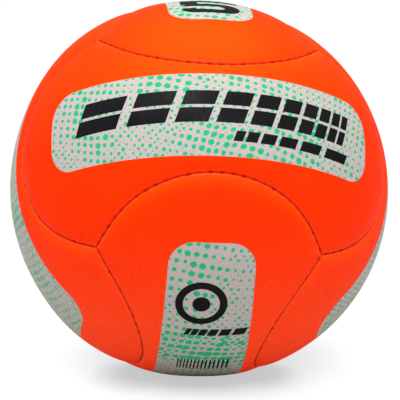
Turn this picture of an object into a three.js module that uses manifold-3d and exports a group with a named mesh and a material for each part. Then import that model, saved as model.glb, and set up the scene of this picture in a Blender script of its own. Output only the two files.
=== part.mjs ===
// Beach soccer ball: six waisted panels, stitched edge to edge over a rubber bladder.
// Millimetres, +Z up. The origin is the middle of the ball, which stands on a small flat at its foot.

import * as THREE from "three";
import { mergeVertices } from "three/addons/utils/BufferGeometryUtils.js";
import Module from "manifold-3d";

const wasm = await Module();
wasm.setup();

// The ball, and how it lies: the front panel looks up by the lean and to the right by the turn
const BALL_RADIUS = 109.8;
const LEAN_DEG = 32.3;
const TURN_DEG = 5.2;
const FOOT_DEPTH = 0.5;
const FOOT_MARGIN = 5;

// The layers, from the outside in, and the play between any two pieces
const SKIN_WALL = 1;
const FOAM_THICKNESS = 2.6;
const LINING_THICKNESS = 0.8;
const BLADDER_WALL = 0.6;
const CLEARANCE = 0.3;

// A panel's outline: its width at the waist, and how its long seams bend between waist and corners
const WAIST_WIDTH = 66.3;
const SEAM_BEND_SHARE = 0.61;

// The seams: edges turned in side by side, round shoulders above them, and the thread between those
const SEAM_GAP = 0.4;
const SHOULDER_RADIUS = 2.4;
const CROWN_DROP = 0.35;
const THREAD_DIAMETER = 0.8;
const THREAD_END_GAP = 1;

// The valve, in the middle of the back panel
const VALVE_NECK_RADIUS = 4.9;
const VALVE_RECESS = 0.6;
const VALVE_FLANGE_RADIUS = 14;
const VALVE_FLANGE_THICKNESS = 1.2;
const FLANGE_RIM_SHARE = 0.5;
const VALVE_STEM_RADIUS = 4.1;
const VALVE_STEM_LENGTH = 14;
const VALVE_BORE_RADIUS = 2.2;
const VALVE_LIP_THICKNESS = 2.5;
const NEEDLE_HOLE_RADIUS = 1;
const REINFORCEMENT_RADIUS = 12.7;

// How finely the round forms are stepped
const SEAM_STEPS = 12;
const LONG_STEPS = 16;
const WIDE_STEPS = 6;
const SHOULDER_STEPS = 2;
const THREAD_SIDES = 5;
const VALVE_SIDES = 20;
const BLADDER_STEPS = 10;
const FOOT_SIDES = 24;
const CUT_OVERRUN = 5;

// Depths below the ball's round form, and other sizes that follow from those above
const FOAM_DEPTH = SKIN_WALL + CLEARANCE;
const LINING_DEPTH = FOAM_DEPTH + FOAM_THICKNESS + CLEARANCE;
const COVER_DEPTH = LINING_DEPTH + LINING_THICKNESS;
const SHOULDER_DEPTH = CROWN_DROP + SHOULDER_RADIUS;
const HALF_GAP = SEAM_GAP / 2;
const THREAD_RADIUS = THREAD_DIAMETER / 2;
const HOLE_RADIUS = VALVE_NECK_RADIUS + CLEARANCE;
const CORNER_ANGLE = Math.asin(1 / Math.sqrt(3));
const WAIST_ANGLE = WAIST_WIDTH / 2 / BALL_RADIUS;

const ORANGE = { color: 0xff4714, roughness: 0.42 };
const FOAM_WHITE = { color: 0xe8e4da, roughness: 0.9 };
const COTTON = { color: 0xd9cfb8, roughness: 0.95 };
const THREAD_RED = { color: 0x8c1c0c, roughness: 0.6 };
const BUTYL = { color: 0x2a2624, roughness: 0.55 };
const VALVE_RUBBER = { color: 0x1b1b1c, roughness: 0.5 };

// One seam on a ball of radius 1: it runs along x between two corners and bows towards z at its middle
class Seam extends THREE.Curve {
  getPoint(share, target = new THREE.Vector3()) {
    const run = 2 * share - 1;
    const x = Math.sin(run * CORNER_ANGLE);
    const bow = 1 - SEAM_BEND_SHARE * run ** 2 - (1 - SEAM_BEND_SHARE) * run ** 6;
    const swing = Math.PI / 4 - (Math.PI / 4 - WAIST_ANGLE) * bow;
    const reach = Math.sqrt(1 - x * x);
    return target.set(x, reach * Math.sin(swing), reach * Math.cos(swing));
  }
}

// The thread's path: the same seam at the thread's own radius, drawn in at both ends
class ThreadPath extends THREE.Curve {
  constructor(seam, radius) {
    super();
    this.seam = seam;
    this.radius = radius;
    this.trimShare = THREAD_END_GAP / (radius * seam.getLength());
  }

  getPoint(share, target = new THREE.Vector3()) {
    const along = this.trimShare + share * (1 - 2 * this.trimShare);
    return this.seam.getPointAt(along, target).multiplyScalar(this.radius);
  }
}

const SEAM = new Seam();

// A panel's own frame: x along its length, y across its waist, z out through its middle.
// Its long seams lie at +y and -y, and its end seams, which bow outwards, at +x and -x.
function longSide(share, side) {
  const point = SEAM.getPointAt(share);
  return new THREE.Vector3(point.x, side * point.y, point.z);
}

function endSide(share, side) {
  const point = SEAM.getPointAt(share);
  return new THREE.Vector3(side * point.z, point.x, point.y);
}

// The direction of the place (u, v) on a panel, each from 0 to 1. Its latitude is a share of the long
// seam's above it, and its longitude grows towards the ends by what the end seams bow out there.
function panelDirection(u, v) {
  const long = SEAM.getPointAt(u);
  const end = SEAM.getPoint(v);
  const bulge = Math.atan2(end.z, end.y) - Math.PI / 4;
  const longitude = Math.atan2(long.x, long.z) + (2 * u - 1) * bulge;
  const latitude = (2 * v - 1) * Math.asin(long.y);
  const reach = Math.cos(latitude);
  return new THREE.Vector3(reach * Math.sin(longitude), Math.sin(latitude), reach * Math.cos(longitude));
}

// The panel's edge, once round, anticlockwise from outside: each point, and the way in from it, mitred
function panelEdge() {
  const points = [];
  const walks = [
    (share) => longSide(share, -1),
    (share) => endSide(share, 1),
    (share) => longSide(1 - share, 1),
    (share) => endSide(1 - share, -1),
  ];
  for (const walk of walks) {
    for (let step = 0; step < SEAM_STEPS; step += 1) points.push(walk(step / SEAM_STEPS));
  }
  const inwards = points.map((point, index) => {
    const next = points[(index + 1) % points.length];
    return new THREE.Vector3().crossVectors(point, next.clone().sub(point)).normalize();
  });
  return points.map((point, index) => {
    const before = inwards[(index + inwards.length - 1) % inwards.length];
    const after = inwards[index];
    const mitre = before.clone().add(after).divideScalar(1 + before.dot(after));
    return { point, mitre };
  });
}

const EDGE = panelEdge();

// A closed body in the shape of the panel. Its face lies at one depth and its back at another, and the
// rings, each an inset from the seam and a depth, join the face's edge to the back's.
class PanelBody {
  constructor(faceDepth, rings, backDepth) {
    this.positions = [];
    this.triangles = [];
    const face = this.addGrid(BALL_RADIUS - faceDepth);
    const loops = rings.map((ring) => this.addLoop(ring.inset, BALL_RADIUS - ring.depth));
    const back = this.addGrid(BALL_RADIUS - backDepth);
    this.addCap(face, loops[0], false);
    for (let index = 1; index < loops.length; index += 1) this.addBand(loops[index - 1], loops[index]);
    this.addCap(back, loops[loops.length - 1], true);
  }

  addPoint(direction, radius) {
    const point = direction.clone().setLength(radius);
    this.positions.push(point.x, point.y, point.z);
    return this.positions.length / 3 - 1;
  }

  // Rows of points over the panel, one step in from its seams
  addGrid(radius) {
    const rows = [];
    for (let row = 1; row < WIDE_STEPS; row += 1) {
      const line = [];
      for (let column = 1; column < LONG_STEPS; column += 1) {
        line.push(this.addPoint(panelDirection(column / LONG_STEPS, row / WIDE_STEPS), radius));
      }
      rows.push(line);
    }
    return rows;
  }

  addLoop(inset, radius) {
    return EDGE.map(({ point, mitre }) => {
      const direction = point.clone().addScaledVector(mitre, inset / radius);
      return this.addPoint(direction, radius);
    });
  }

  addTriangle(a, b, c, flipped) {
    this.triangles.push(a, flipped ? c : b, flipped ? b : c);
  }

  // The band between one loop and the next on the way from the face to the back
  addBand(upper, lower) {
    for (let index = 0; index < upper.length; index += 1) {
      const next = (index + 1) % upper.length;
      this.addTriangle(lower[index], lower[next], upper[next], false);
      this.addTriangle(lower[index], upper[next], upper[index], false);
    }
  }

  addCap(rows, loop, flipped) {
    const last = rows.length - 1;
    for (let row = 0; row < last; row += 1) {
      for (let column = 0; column < rows[row].length - 1; column += 1) {
        const [a, b] = [rows[row][column], rows[row][column + 1]];
        const [c, d] = [rows[row + 1][column + 1], rows[row + 1][column]];
        this.addTriangle(a, b, c, flipped);
        this.addTriangle(a, c, d, flipped);
      }
    }
    const borders = [
      rows[0],
      rows.map((line) => line[line.length - 1]),
      [...rows[last]].reverse(),
      rows.map((line) => line[0]).reverse(),
    ];
    borders.forEach((border, side) => this.addStrip(border, loop, side * SEAM_STEPS, flipped));
  }

  // Triangles between one side of a loop and the border of the grid inside it, whose steps may differ
  addStrip(border, loop, start, flipped) {
    let [outer, inner] = [0, 0];
    const at = (step) => loop[(start + step) % loop.length];
    while (outer < SEAM_STEPS || inner < border.length - 1) {
      const outerShare = (outer + 1) / SEAM_STEPS;
      const innerShare = (inner + 2) / (border.length + 1);
      const outerFirst = outerShare <= innerShare && outer < SEAM_STEPS;
      if (outerFirst || inner === border.length - 1) {
        this.addTriangle(at(outer), at(outer + 1), border[inner], flipped);
        outer += 1;
      } else {
        this.addTriangle(at(outer), border[inner + 1], border[inner], flipped);
        inner += 1;
      }
    }
  }

  geometry() {
    const geometry = new THREE.BufferGeometry();
    geometry.setAttribute("position", new THREE.Float32BufferAttribute(this.positions, 3));
    geometry.setIndex(this.triangles);
    return geometry;
  }
}

// The cover skin: a crowned face, a round shoulder at every seam, and an edge turned in past the foam and
// the lining, so that two skins meet wall to wall where they are stitched
function skinGeometry() {
  const rings = [];
  for (let step = SHOULDER_STEPS; step >= 0; step -= 1) {
    const angle = (step / SHOULDER_STEPS) * (Math.PI / 2);
    rings.push({
      inset: HALF_GAP + SHOULDER_RADIUS * (1 - Math.cos(angle)),
      depth: SHOULDER_DEPTH - SHOULDER_RADIUS * Math.sin(angle),
    });
  }
  rings.push({ inset: HALF_GAP, depth: COVER_DEPTH });
  rings.push({ inset: HALF_GAP + SKIN_WALL, depth: COVER_DEPTH });
  rings.push({ inset: HALF_GAP + SKIN_WALL, depth: CROWN_DROP + SKIN_WALL });
  return new PanelBody(0, rings, SKIN_WALL).geometry();
}

// A flat layer under the skin, cut to lie inside its turned-in edge
function layerGeometry(depth, thickness, edgeDrop) {
  const inset = HALF_GAP + SKIN_WALL + CLEARANCE;
  const rings = [
    { inset, depth: depth + edgeDrop },
    { inset, depth: depth + thickness },
  ];
  return new PanelBody(depth, rings, depth + thickness).geometry();
}

// The thread lies on the two shoulders that face each other, and its middle is in the seam's own surface
function threadGeometry() {
  const span = SHOULDER_RADIUS + THREAD_RADIUS + CLEARANCE;
  const rise = Math.sqrt(span ** 2 - (SHOULDER_RADIUS + HALF_GAP) ** 2);
  const path = new ThreadPath(SEAM, BALL_RADIUS - SHOULDER_DEPTH + rise);
  const section = new THREE.Shape();
  for (let side = 0; side < THREAD_SIDES; side += 1) {
    const angle = (side / THREAD_SIDES) * Math.PI * 2;
    const corner = [THREAD_RADIUS * Math.cos(angle), THREAD_RADIUS * Math.sin(angle)];
    if (side === 0) section.moveTo(...corner);
    else section.lineTo(...corner);
  }
  return new THREE.ExtrudeGeometry(section, { steps: SEAM_STEPS, bevelEnabled: false, extrudePath: path });
}

// A solid of revolution about z, from a profile of radius and height
function turned(profile, sides = VALVE_SIDES) {
  const points = profile.map(([radius, height]) => new THREE.Vector2(radius, height));
  return new THREE.LatheGeometry(points, sides).rotateX(Math.PI / 2);
}

function rod(radius, low, high, sides = VALVE_SIDES) {
  return turned([[0, low], [radius, low], [radius, high], [0, high]], sides);
}

function toManifold(geometry) {
  const bare = geometry.clone();
  bare.deleteAttribute("normal");
  bare.deleteAttribute("uv");
  const merged = mergeVertices(bare);
  const vertProperties = new Float32Array(merged.attributes.position.array);
  const triVerts = new Uint32Array(merged.index.array);
  const mesh = new wasm.Mesh({ numProp: 3, vertProperties, triVerts });
  mesh.merge();
  return new wasm.Manifold(mesh);
}

function fromManifold(solid) {
  const mesh = solid.getMesh();
  const geometry = new THREE.BufferGeometry();
  geometry.setAttribute("position", new THREE.Float32BufferAttribute(mesh.vertProperties, 3));
  geometry.setIndex([...mesh.triVerts]);
  return geometry;
}

function cut(geometry, tool) {
  return fromManifold(toManifold(geometry).subtract(toManifold(tool)));
}

function common(geometry, tool) {
  return fromManifold(toManifold(geometry).intersect(toManifold(tool)));
}

// A rod through every layer of the back panel, to bore it or to keep what lies inside it
function throughRod(radius) {
  return rod(radius, BALL_RADIUS - COVER_DEPTH - CUT_OVERRUN, BALL_RADIUS + CUT_OVERRUN);
}

// Points on a circle about the middle, from one angle off the axis to another, for a turned profile
function arc(radius, from, to, steps) {
  const points = [];
  for (let step = 0; step <= steps; step += 1) {
    const angle = from + (step / steps) * (to - from);
    points.push([radius * Math.sin(angle), radius * Math.cos(angle)]);
  }
  return points;
}

// The foot: the skin is made truly round about its lowest point, and then cut flat there
function withFoot(geometry, down) {
  const flat = BALL_RADIUS - FOOT_DEPTH;
  const footRadius = Math.sqrt(BALL_RADIUS ** 2 - flat ** 2);
  const spread = Math.asin((footRadius + FOOT_MARGIN) / BALL_RADIUS);
  const [, rim] = arc(BALL_RADIUS, 0, spread, 1);
  const profile = [...arc(BALL_RADIUS - SKIN_WALL, 0, spread, 1), rim, [footRadius, flat]];
  profile.push([footRadius, BALL_RADIUS], [0, BALL_RADIUS]);
  const towards = new THREE.Quaternion().setFromUnitVectors(new THREE.Vector3(0, 0, 1), down);
  const cap = turned(profile, FOOT_SIDES).applyQuaternion(towards);
  const slab = rod(footRadius + FOOT_MARGIN, flat, flat + CUT_OVERRUN, FOOT_SIDES).applyQuaternion(towards);
  return fromManifold(toManifold(geometry).add(toManifold(cap)).subtract(toManifold(slab)));
}

// The distance from the middle of the ball to the nearest flat facet of a body's back
function nearestFacet(geometry) {
  const place = geometry.attributes.position;
  const index = geometry.index.array;
  const corner = (at) => new THREE.Vector3().fromBufferAttribute(place, index[at]);
  let nearest = BALL_RADIUS;
  for (let at = 0; at < index.length; at += 3) {
    const facet = new THREE.Triangle(corner(at), corner(at + 1), corner(at + 2));
    const nearby = facet.closestPointToPoint(new THREE.Vector3(), new THREE.Vector3()).length();
    nearest = Math.min(nearest, nearby);
  }
  return nearest;
}

// The bladder's wall, from its mouth round to its far end. The second point is above the flange's rim.
function bladderArc(radius) {
  const mouth = Math.asin(HOLE_RADIUS / radius);
  const rim = Math.asin(VALVE_FLANGE_RADIUS / radius);
  return [...arc(radius, mouth, rim, 1), ...arc(radius, Math.PI / BLADDER_STEPS, Math.PI, BLADDER_STEPS - 1)];
}

function bladderGeometry(radius) {
  return turned([...bladderArc(radius).reverse(), ...bladderArc(radius - BLADDER_WALL)]);
}

// The valve: a lip round the needle's hole, a neck through the cover, a flange that lies against the
// bladder's wall from inside, and a stem that hangs into the air
function valveBodyGeometry(bladderRadius) {
  const [mouth, rim] = bladderArc(bladderRadius - BLADDER_WALL);
  const face = BALL_RADIUS - VALVE_RECESS;
  const rootHeight = mouth[1] - CLEARANCE;
  const rimHeight = rim[1] - CLEARANCE;
  const end = rootHeight - VALVE_FLANGE_THICKNESS - VALVE_STEM_LENGTH;
  const profile = [
    [NEEDLE_HOLE_RADIUS, face],
    [NEEDLE_HOLE_RADIUS, face - VALVE_LIP_THICKNESS],
    [VALVE_BORE_RADIUS, face - VALVE_LIP_THICKNESS],
    [VALVE_BORE_RADIUS, end],
    [VALVE_STEM_RADIUS, end],
    [VALVE_STEM_RADIUS, rootHeight - VALVE_FLANGE_THICKNESS],
    [VALVE_FLANGE_RADIUS, rimHeight - VALVE_FLANGE_THICKNESS * FLANGE_RIM_SHARE],
    [VALVE_FLANGE_RADIUS, rimHeight],
    [VALVE_NECK_RADIUS, rootHeight],
    [VALVE_NECK_RADIUS, face],
    [NEEDLE_HOLE_RADIUS, face],
  ];
  return { geometry: turned(profile), end };
}

function valveInsertGeometry(valveEnd) {
  const top = BALL_RADIUS - VALVE_RECESS - VALVE_LIP_THICKNESS - CLEARANCE;
  return rod(VALVE_BORE_RADIUS - CLEARANCE, valveEnd, top);
}

function makeMesh(name, geometry, { color, roughness }) {
  geometry.computeVertexNormals();
  const mesh = new THREE.Mesh(geometry, new THREE.MeshStandardMaterial({ color, roughness, metalness: 0 }));
  mesh.name = name;
  return mesh;
}

// Each panel's length, width and outward directions in the ball, and the panels across its long seams
const X = new THREE.Vector3(1, 0, 0);
const Y = new THREE.Vector3(0, 1, 0);
const Z = new THREE.Vector3(0, 0, 1);
const PANELS = [
  { name: "front", length: X, width: Z, across: { up: "top", down: "bottom" } },
  { name: "back", length: X.clone().negate(), width: Z, across: { up: "top", down: "bottom" } },
  { name: "top", length: Y, width: X.clone().negate(), across: { up: "left", down: "right" } },
  { name: "bottom", length: Y, width: X, across: { up: "right", down: "left" } },
  { name: "left", length: Z, width: Y, across: { up: "back", down: "front" } },
  { name: "right", length: Z, width: Y.clone().negate(), across: { up: "front", down: "back" } },
];

const ball = new THREE.Group();
ball.rotation.set(-THREE.MathUtils.degToRad(LEAN_DEG), 0, THREE.MathUtils.degToRad(TURN_DEG), "XYZ");

const skin = skinGeometry();
const foam = layerGeometry(FOAM_DEPTH, FOAM_THICKNESS, CROWN_DROP);
const lining = layerGeometry(LINING_DEPTH, LINING_THICKNESS, 0);
const thread = threadGeometry();
const bladderRadius = nearestFacet(lining) - CLEARANCE;

function addPanel({ name, length, width, across }) {
  const panel = new THREE.Group();
  const outward = new THREE.Vector3().crossVectors(length, width);
  panel.quaternion.setFromRotationMatrix(new THREE.Matrix4().makeBasis(length, width, outward));
  ball.add(panel);
  const isBack = name === "back";
  let [skinShape, foamShape, liningShape] = [skin.clone(), foam.clone(), lining.clone()];
  if (name === "bottom") {
    const turns = ball.quaternion.clone().multiply(panel.quaternion).invert();
    skinShape = withFoot(skinShape, Z.clone().negate().applyQuaternion(turns));
  }
  if (isBack) {
    skinShape = cut(skinShape, throughRod(HOLE_RADIUS));
    foamShape = cut(foamShape, throughRod(HOLE_RADIUS));
    liningShape = cut(liningShape, throughRod(REINFORCEMENT_RADIUS + CLEARANCE));
  }
  panel.add(makeMesh(`skin_${name}`, skinShape, ORANGE));
  panel.add(makeMesh(`foam_${name}`, foamShape, FOAM_WHITE));
  panel.add(makeMesh(`lining_${name}`, liningShape, COTTON));
  const upper = makeMesh(`thread_${name}_${across.up}`, thread.clone(), THREAD_RED);
  const lower = makeMesh(`thread_${name}_${across.down}`, thread.clone(), THREAD_RED);
  lower.rotation.z = Math.PI;
  panel.add(upper, lower);
  if (isBack) addValve(panel);
}

// The bladder and its valve share the back panel's outward axis
function addValve(panel) {
  const ring = cut(common(lining, throughRod(REINFORCEMENT_RADIUS)), throughRod(HOLE_RADIUS));
  const valve = valveBodyGeometry(bladderRadius);
  panel.add(makeMesh("bladder", bladderGeometry(bladderRadius), BUTYL));
  panel.add(makeMesh("valve_reinforcement", ring, COTTON));
  panel.add(makeMesh("valve_body", valve.geometry, VALVE_RUBBER));
  panel.add(makeMesh("valve_insert", valveInsertGeometry(valve.end), VALVE_RUBBER));
}

PANELS.forEach(addPanel);

export default ball;
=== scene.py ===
"""A stitched ball for beach soccer: six waisted cover panels over foam, cotton and a rubber bladder.

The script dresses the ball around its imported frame. Lengths are in metres in the frame's own axes, and
the middle of the ball is the origin. Print and grain are laid out in millimetres on each panel.
"""

import sys

import logging
import math
from dataclasses import dataclass, field
from enum import Enum

import bpy
import numpy as np
from mathutils import Matrix, Vector
from mathutils.kdtree import KDTree

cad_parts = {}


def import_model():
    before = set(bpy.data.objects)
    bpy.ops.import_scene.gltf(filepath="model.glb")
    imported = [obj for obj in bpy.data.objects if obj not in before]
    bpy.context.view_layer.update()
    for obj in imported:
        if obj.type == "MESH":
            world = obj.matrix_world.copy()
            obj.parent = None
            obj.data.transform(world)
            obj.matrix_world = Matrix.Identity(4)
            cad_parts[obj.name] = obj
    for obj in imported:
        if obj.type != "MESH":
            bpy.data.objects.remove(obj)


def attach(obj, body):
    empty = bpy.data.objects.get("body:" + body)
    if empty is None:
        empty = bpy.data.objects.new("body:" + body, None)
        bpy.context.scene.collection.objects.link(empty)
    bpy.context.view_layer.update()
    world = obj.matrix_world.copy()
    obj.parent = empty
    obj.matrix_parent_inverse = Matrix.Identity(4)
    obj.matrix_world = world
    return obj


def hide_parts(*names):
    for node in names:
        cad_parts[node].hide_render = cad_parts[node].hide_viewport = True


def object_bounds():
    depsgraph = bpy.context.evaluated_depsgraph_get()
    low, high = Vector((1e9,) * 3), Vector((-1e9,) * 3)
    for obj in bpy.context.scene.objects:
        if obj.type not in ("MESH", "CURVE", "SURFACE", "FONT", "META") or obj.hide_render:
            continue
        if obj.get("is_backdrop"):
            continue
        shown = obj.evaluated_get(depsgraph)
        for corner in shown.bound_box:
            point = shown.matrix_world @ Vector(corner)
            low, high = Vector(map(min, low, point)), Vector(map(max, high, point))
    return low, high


MM = 0.001
LOG = logging.getLogger("beach_ball")

Points = np.ndarray
Faces = list[tuple[int, ...]]
Socket = bpy.types.NodeSocket
Value = float | tuple | Socket


# Sizes


@dataclass(frozen=True)
class Swell:
    """A place where the pumped ball stands a little proud of a true sphere, or falls short of it."""

    towards: tuple[float, float, float]
    spread_deg: float
    height: float

    def lift(self, directions: Points) -> Points:
        """How far each direction's surface is raised.

        Args:
            directions: Unit vectors, one a row.

        Returns:
            One length for each row.
        """
        middle = np.array(self.towards) / np.linalg.norm(self.towards)
        apart = np.degrees(np.arccos(np.clip(directions @ middle, -1, 1)))
        return self.height * np.exp(-((apart / self.spread_deg) ** 2))


@dataclass(frozen=True)
class BallSizes:
    """The driving sizes of the ball, and how it lies."""

    crown_radius: float = 109.36 * MM
    lean_deg: float = 32.3
    turn_deg: float = 5.2
    skin_wall: float = 1.0 * MM
    foam_thickness: float = 2.6 * MM
    lining_thickness: float = 0.8 * MM
    clearance: float = 0.3 * MM
    waist_width: float = 66.3 * MM
    seam_bend_share: float = 0.61
    floor_height: float = -109.29 * MM
    swells: tuple[Swell, ...] = ()

    @property
    def foam_depth(self) -> float:
        """The foam's outer face, below the crown."""
        return self.skin_wall + self.clearance

    @property
    def lining_depth(self) -> float:
        """The lining's outer face, below the crown."""
        return self.foam_depth + self.foam_thickness + self.clearance

    @property
    def cover_depth(self) -> float:
        """The lining's inner face, below the crown."""
        return self.lining_depth + self.lining_thickness

    @property
    def attitude(self) -> np.ndarray:
        """The turn that lays the ball as it stands, as a 3 by 3 matrix."""
        lean = Matrix.Rotation(-math.radians(self.lean_deg), 3, "X")
        turn = Matrix.Rotation(math.radians(self.turn_deg), 3, "Z")
        return np.array(lean @ turn)

    def settle(self, points: Points) -> Points:
        """Gives points of a true ball the small swells of the real one, and its flat where it stands.

        Args:
            points: Places in the row frame, one a row.

        Returns:
            The moved places.
        """
        radius = np.linalg.norm(points, axis=1, keepdims=True)
        directions = points / radius
        for swell in self.swells:
            radius = radius + swell.lift(directions)[:, None]
        moved = directions * radius
        moved[:, 2] = np.maximum(moved[:, 2], self.floor_height)
        return moved


@dataclass(frozen=True)
class SeamSizes:
    """The section of a seam, and the rhythm of its stitches."""

    half_gap: float = 0.05 * MM
    shoulder_radius: float = 1.3 * MM
    bevel_drop: float = 0.45 * MM
    bevel_reach: float = 2.3 * MM
    pillow_drop: float = 0.5 * MM
    pillow_reach: float = 6.5 * MM
    stitches: int = 28
    hole_dimple: float = 0.24 * MM
    hole_reach: float = 1.6 * MM
    hole_opening: float = 0.28 * MM
    opening_reach: float = 1.0 * MM
    thread_radius: float = 0.24 * MM
    thread_dip: float = 0.8 * MM

    @property
    def edge_drop(self) -> float:
        """How deep below the crown a panel's edge lies."""
        return self.bevel_drop + self.pillow_drop

    def pillow(self, inset: Points) -> Points:
        """How far a panel's face falls towards its seams, at some distance from the nearest one."""
        bevel = self.bevel_drop * np.exp(-np.asarray(inset) / self.bevel_reach)
        return bevel + self.pillow_drop * np.exp(-((np.asarray(inset) / self.pillow_reach) ** 2))

    def shoulder(self, inset: Points) -> Points:
        """How far the rounded edge falls below the face, at some distance from the seam."""
        in_arc = np.clip(self.shoulder_radius + self.half_gap - inset, 0, self.shoulder_radius)
        return self.shoulder_radius - np.sqrt(self.shoulder_radius**2 - in_arc**2)

    def pull(self, share: Points) -> Points:
        """How hard the thread pulls at a place along the seam: 1 at a stitch hole, 0 between two."""
        wave = 0.5 - 0.5 * np.cos(2 * np.pi * self.stitches * share)
        stitch = np.floor(self.stitches * share)
        tightness = 0.68 + 0.32 * np.sin(12.9898 * stitch**2)
        return tightness * wave**2

    @property
    def thread_depth(self) -> float:
        """The thread's middle below the crown, where it lies on both shoulders."""
        reach = self.shoulder_radius + self.thread_radius
        rise = math.sqrt(reach**2 - (self.shoulder_radius + self.half_gap) ** 2)
        return self.edge_drop + self.shoulder_radius - rise


SWELLS = (
    Swell((-0.656, 0.131, 0.743), 22.0, 2.3 * MM),
    Swell((0.809, -0.102, -0.579), 30.0, 0.85 * MM),
    Swell((-0.643, -0.133, -0.755), 14.0, 0.9 * MM),
    Swell((0.438, 0.156, 0.885), 18.0, -0.6 * MM),
    Swell((0.0, -0.292, -0.956), 11.0, -1.0 * MM),
)


# The seams and the panels that they bound


class SeamLine:
    """One seam on a ball of radius 1: it runs along x and bows towards z at its middle."""

    SAMPLES = 4001

    def __init__(self, sizes: BallSizes) -> None:
        """Samples the line once, with the way in from it to the panel whose waist it bounds."""
        self.run = np.linspace(-1, 1, self.SAMPLES)
        corner = math.asin(1 / math.sqrt(3))
        waist = sizes.waist_width / 2 / (sizes.crown_radius)
        bend = sizes.seam_bend_share
        x = np.sin(self.run * corner)
        bow = 1 - bend * self.run**2 - (1 - bend) * self.run**6
        swing = math.pi / 4 - (math.pi / 4 - waist) * bow
        reach = np.sqrt(1 - x * x)
        self.points = np.stack([x, reach * np.sin(swing), reach * np.cos(swing)], axis=1)
        steps = np.linalg.norm(np.diff(self.points, axis=0), axis=1)
        walked = np.concatenate([[0.0], np.cumsum(steps)])
        self.length = walked[-1]
        self.share = walked / self.length
        tangent = np.gradient(self.points, axis=0)
        inward = np.cross(tangent, self.points)
        self.inward = inward / np.linalg.norm(inward, axis=1, keepdims=True)

    def share_at(self, run: Points) -> Points:
        """The share of the seam's length walked at each run from -1 to 1."""
        return np.interp(run, self.run, self.share)

    def run_at(self, share: Points) -> Points:
        """The run from -1 to 1 at each share of the seam's length."""
        return np.interp(share, self.share, self.run)

    def offset(self, run: Points, angle: Points) -> Points:
        """Points beside the seam.

        Args:
            run: Where along the seam, from -1 to 1.
            angle: How far to its waisted side, as an angle on the ball. Less than 0 is the other side.

        Returns:
            Unit vectors, one a row.
        """
        columns = range(3)
        on_line = np.stack([np.interp(run, self.run, self.points[:, i]) for i in columns], axis=1)
        inward = np.stack([np.interp(run, self.run, self.inward[:, i]) for i in columns], axis=1)
        angle = np.broadcast_to(angle, run.shape)[:, None]
        points = np.cos(angle) * on_line + np.sin(angle) * inward
        return points / np.linalg.norm(points, axis=1, keepdims=True)


@dataclass
class Ring:
    """One closed line round a panel, a fixed distance in from its seams."""

    directions: Points
    share: Points
    inset: Points


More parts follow.
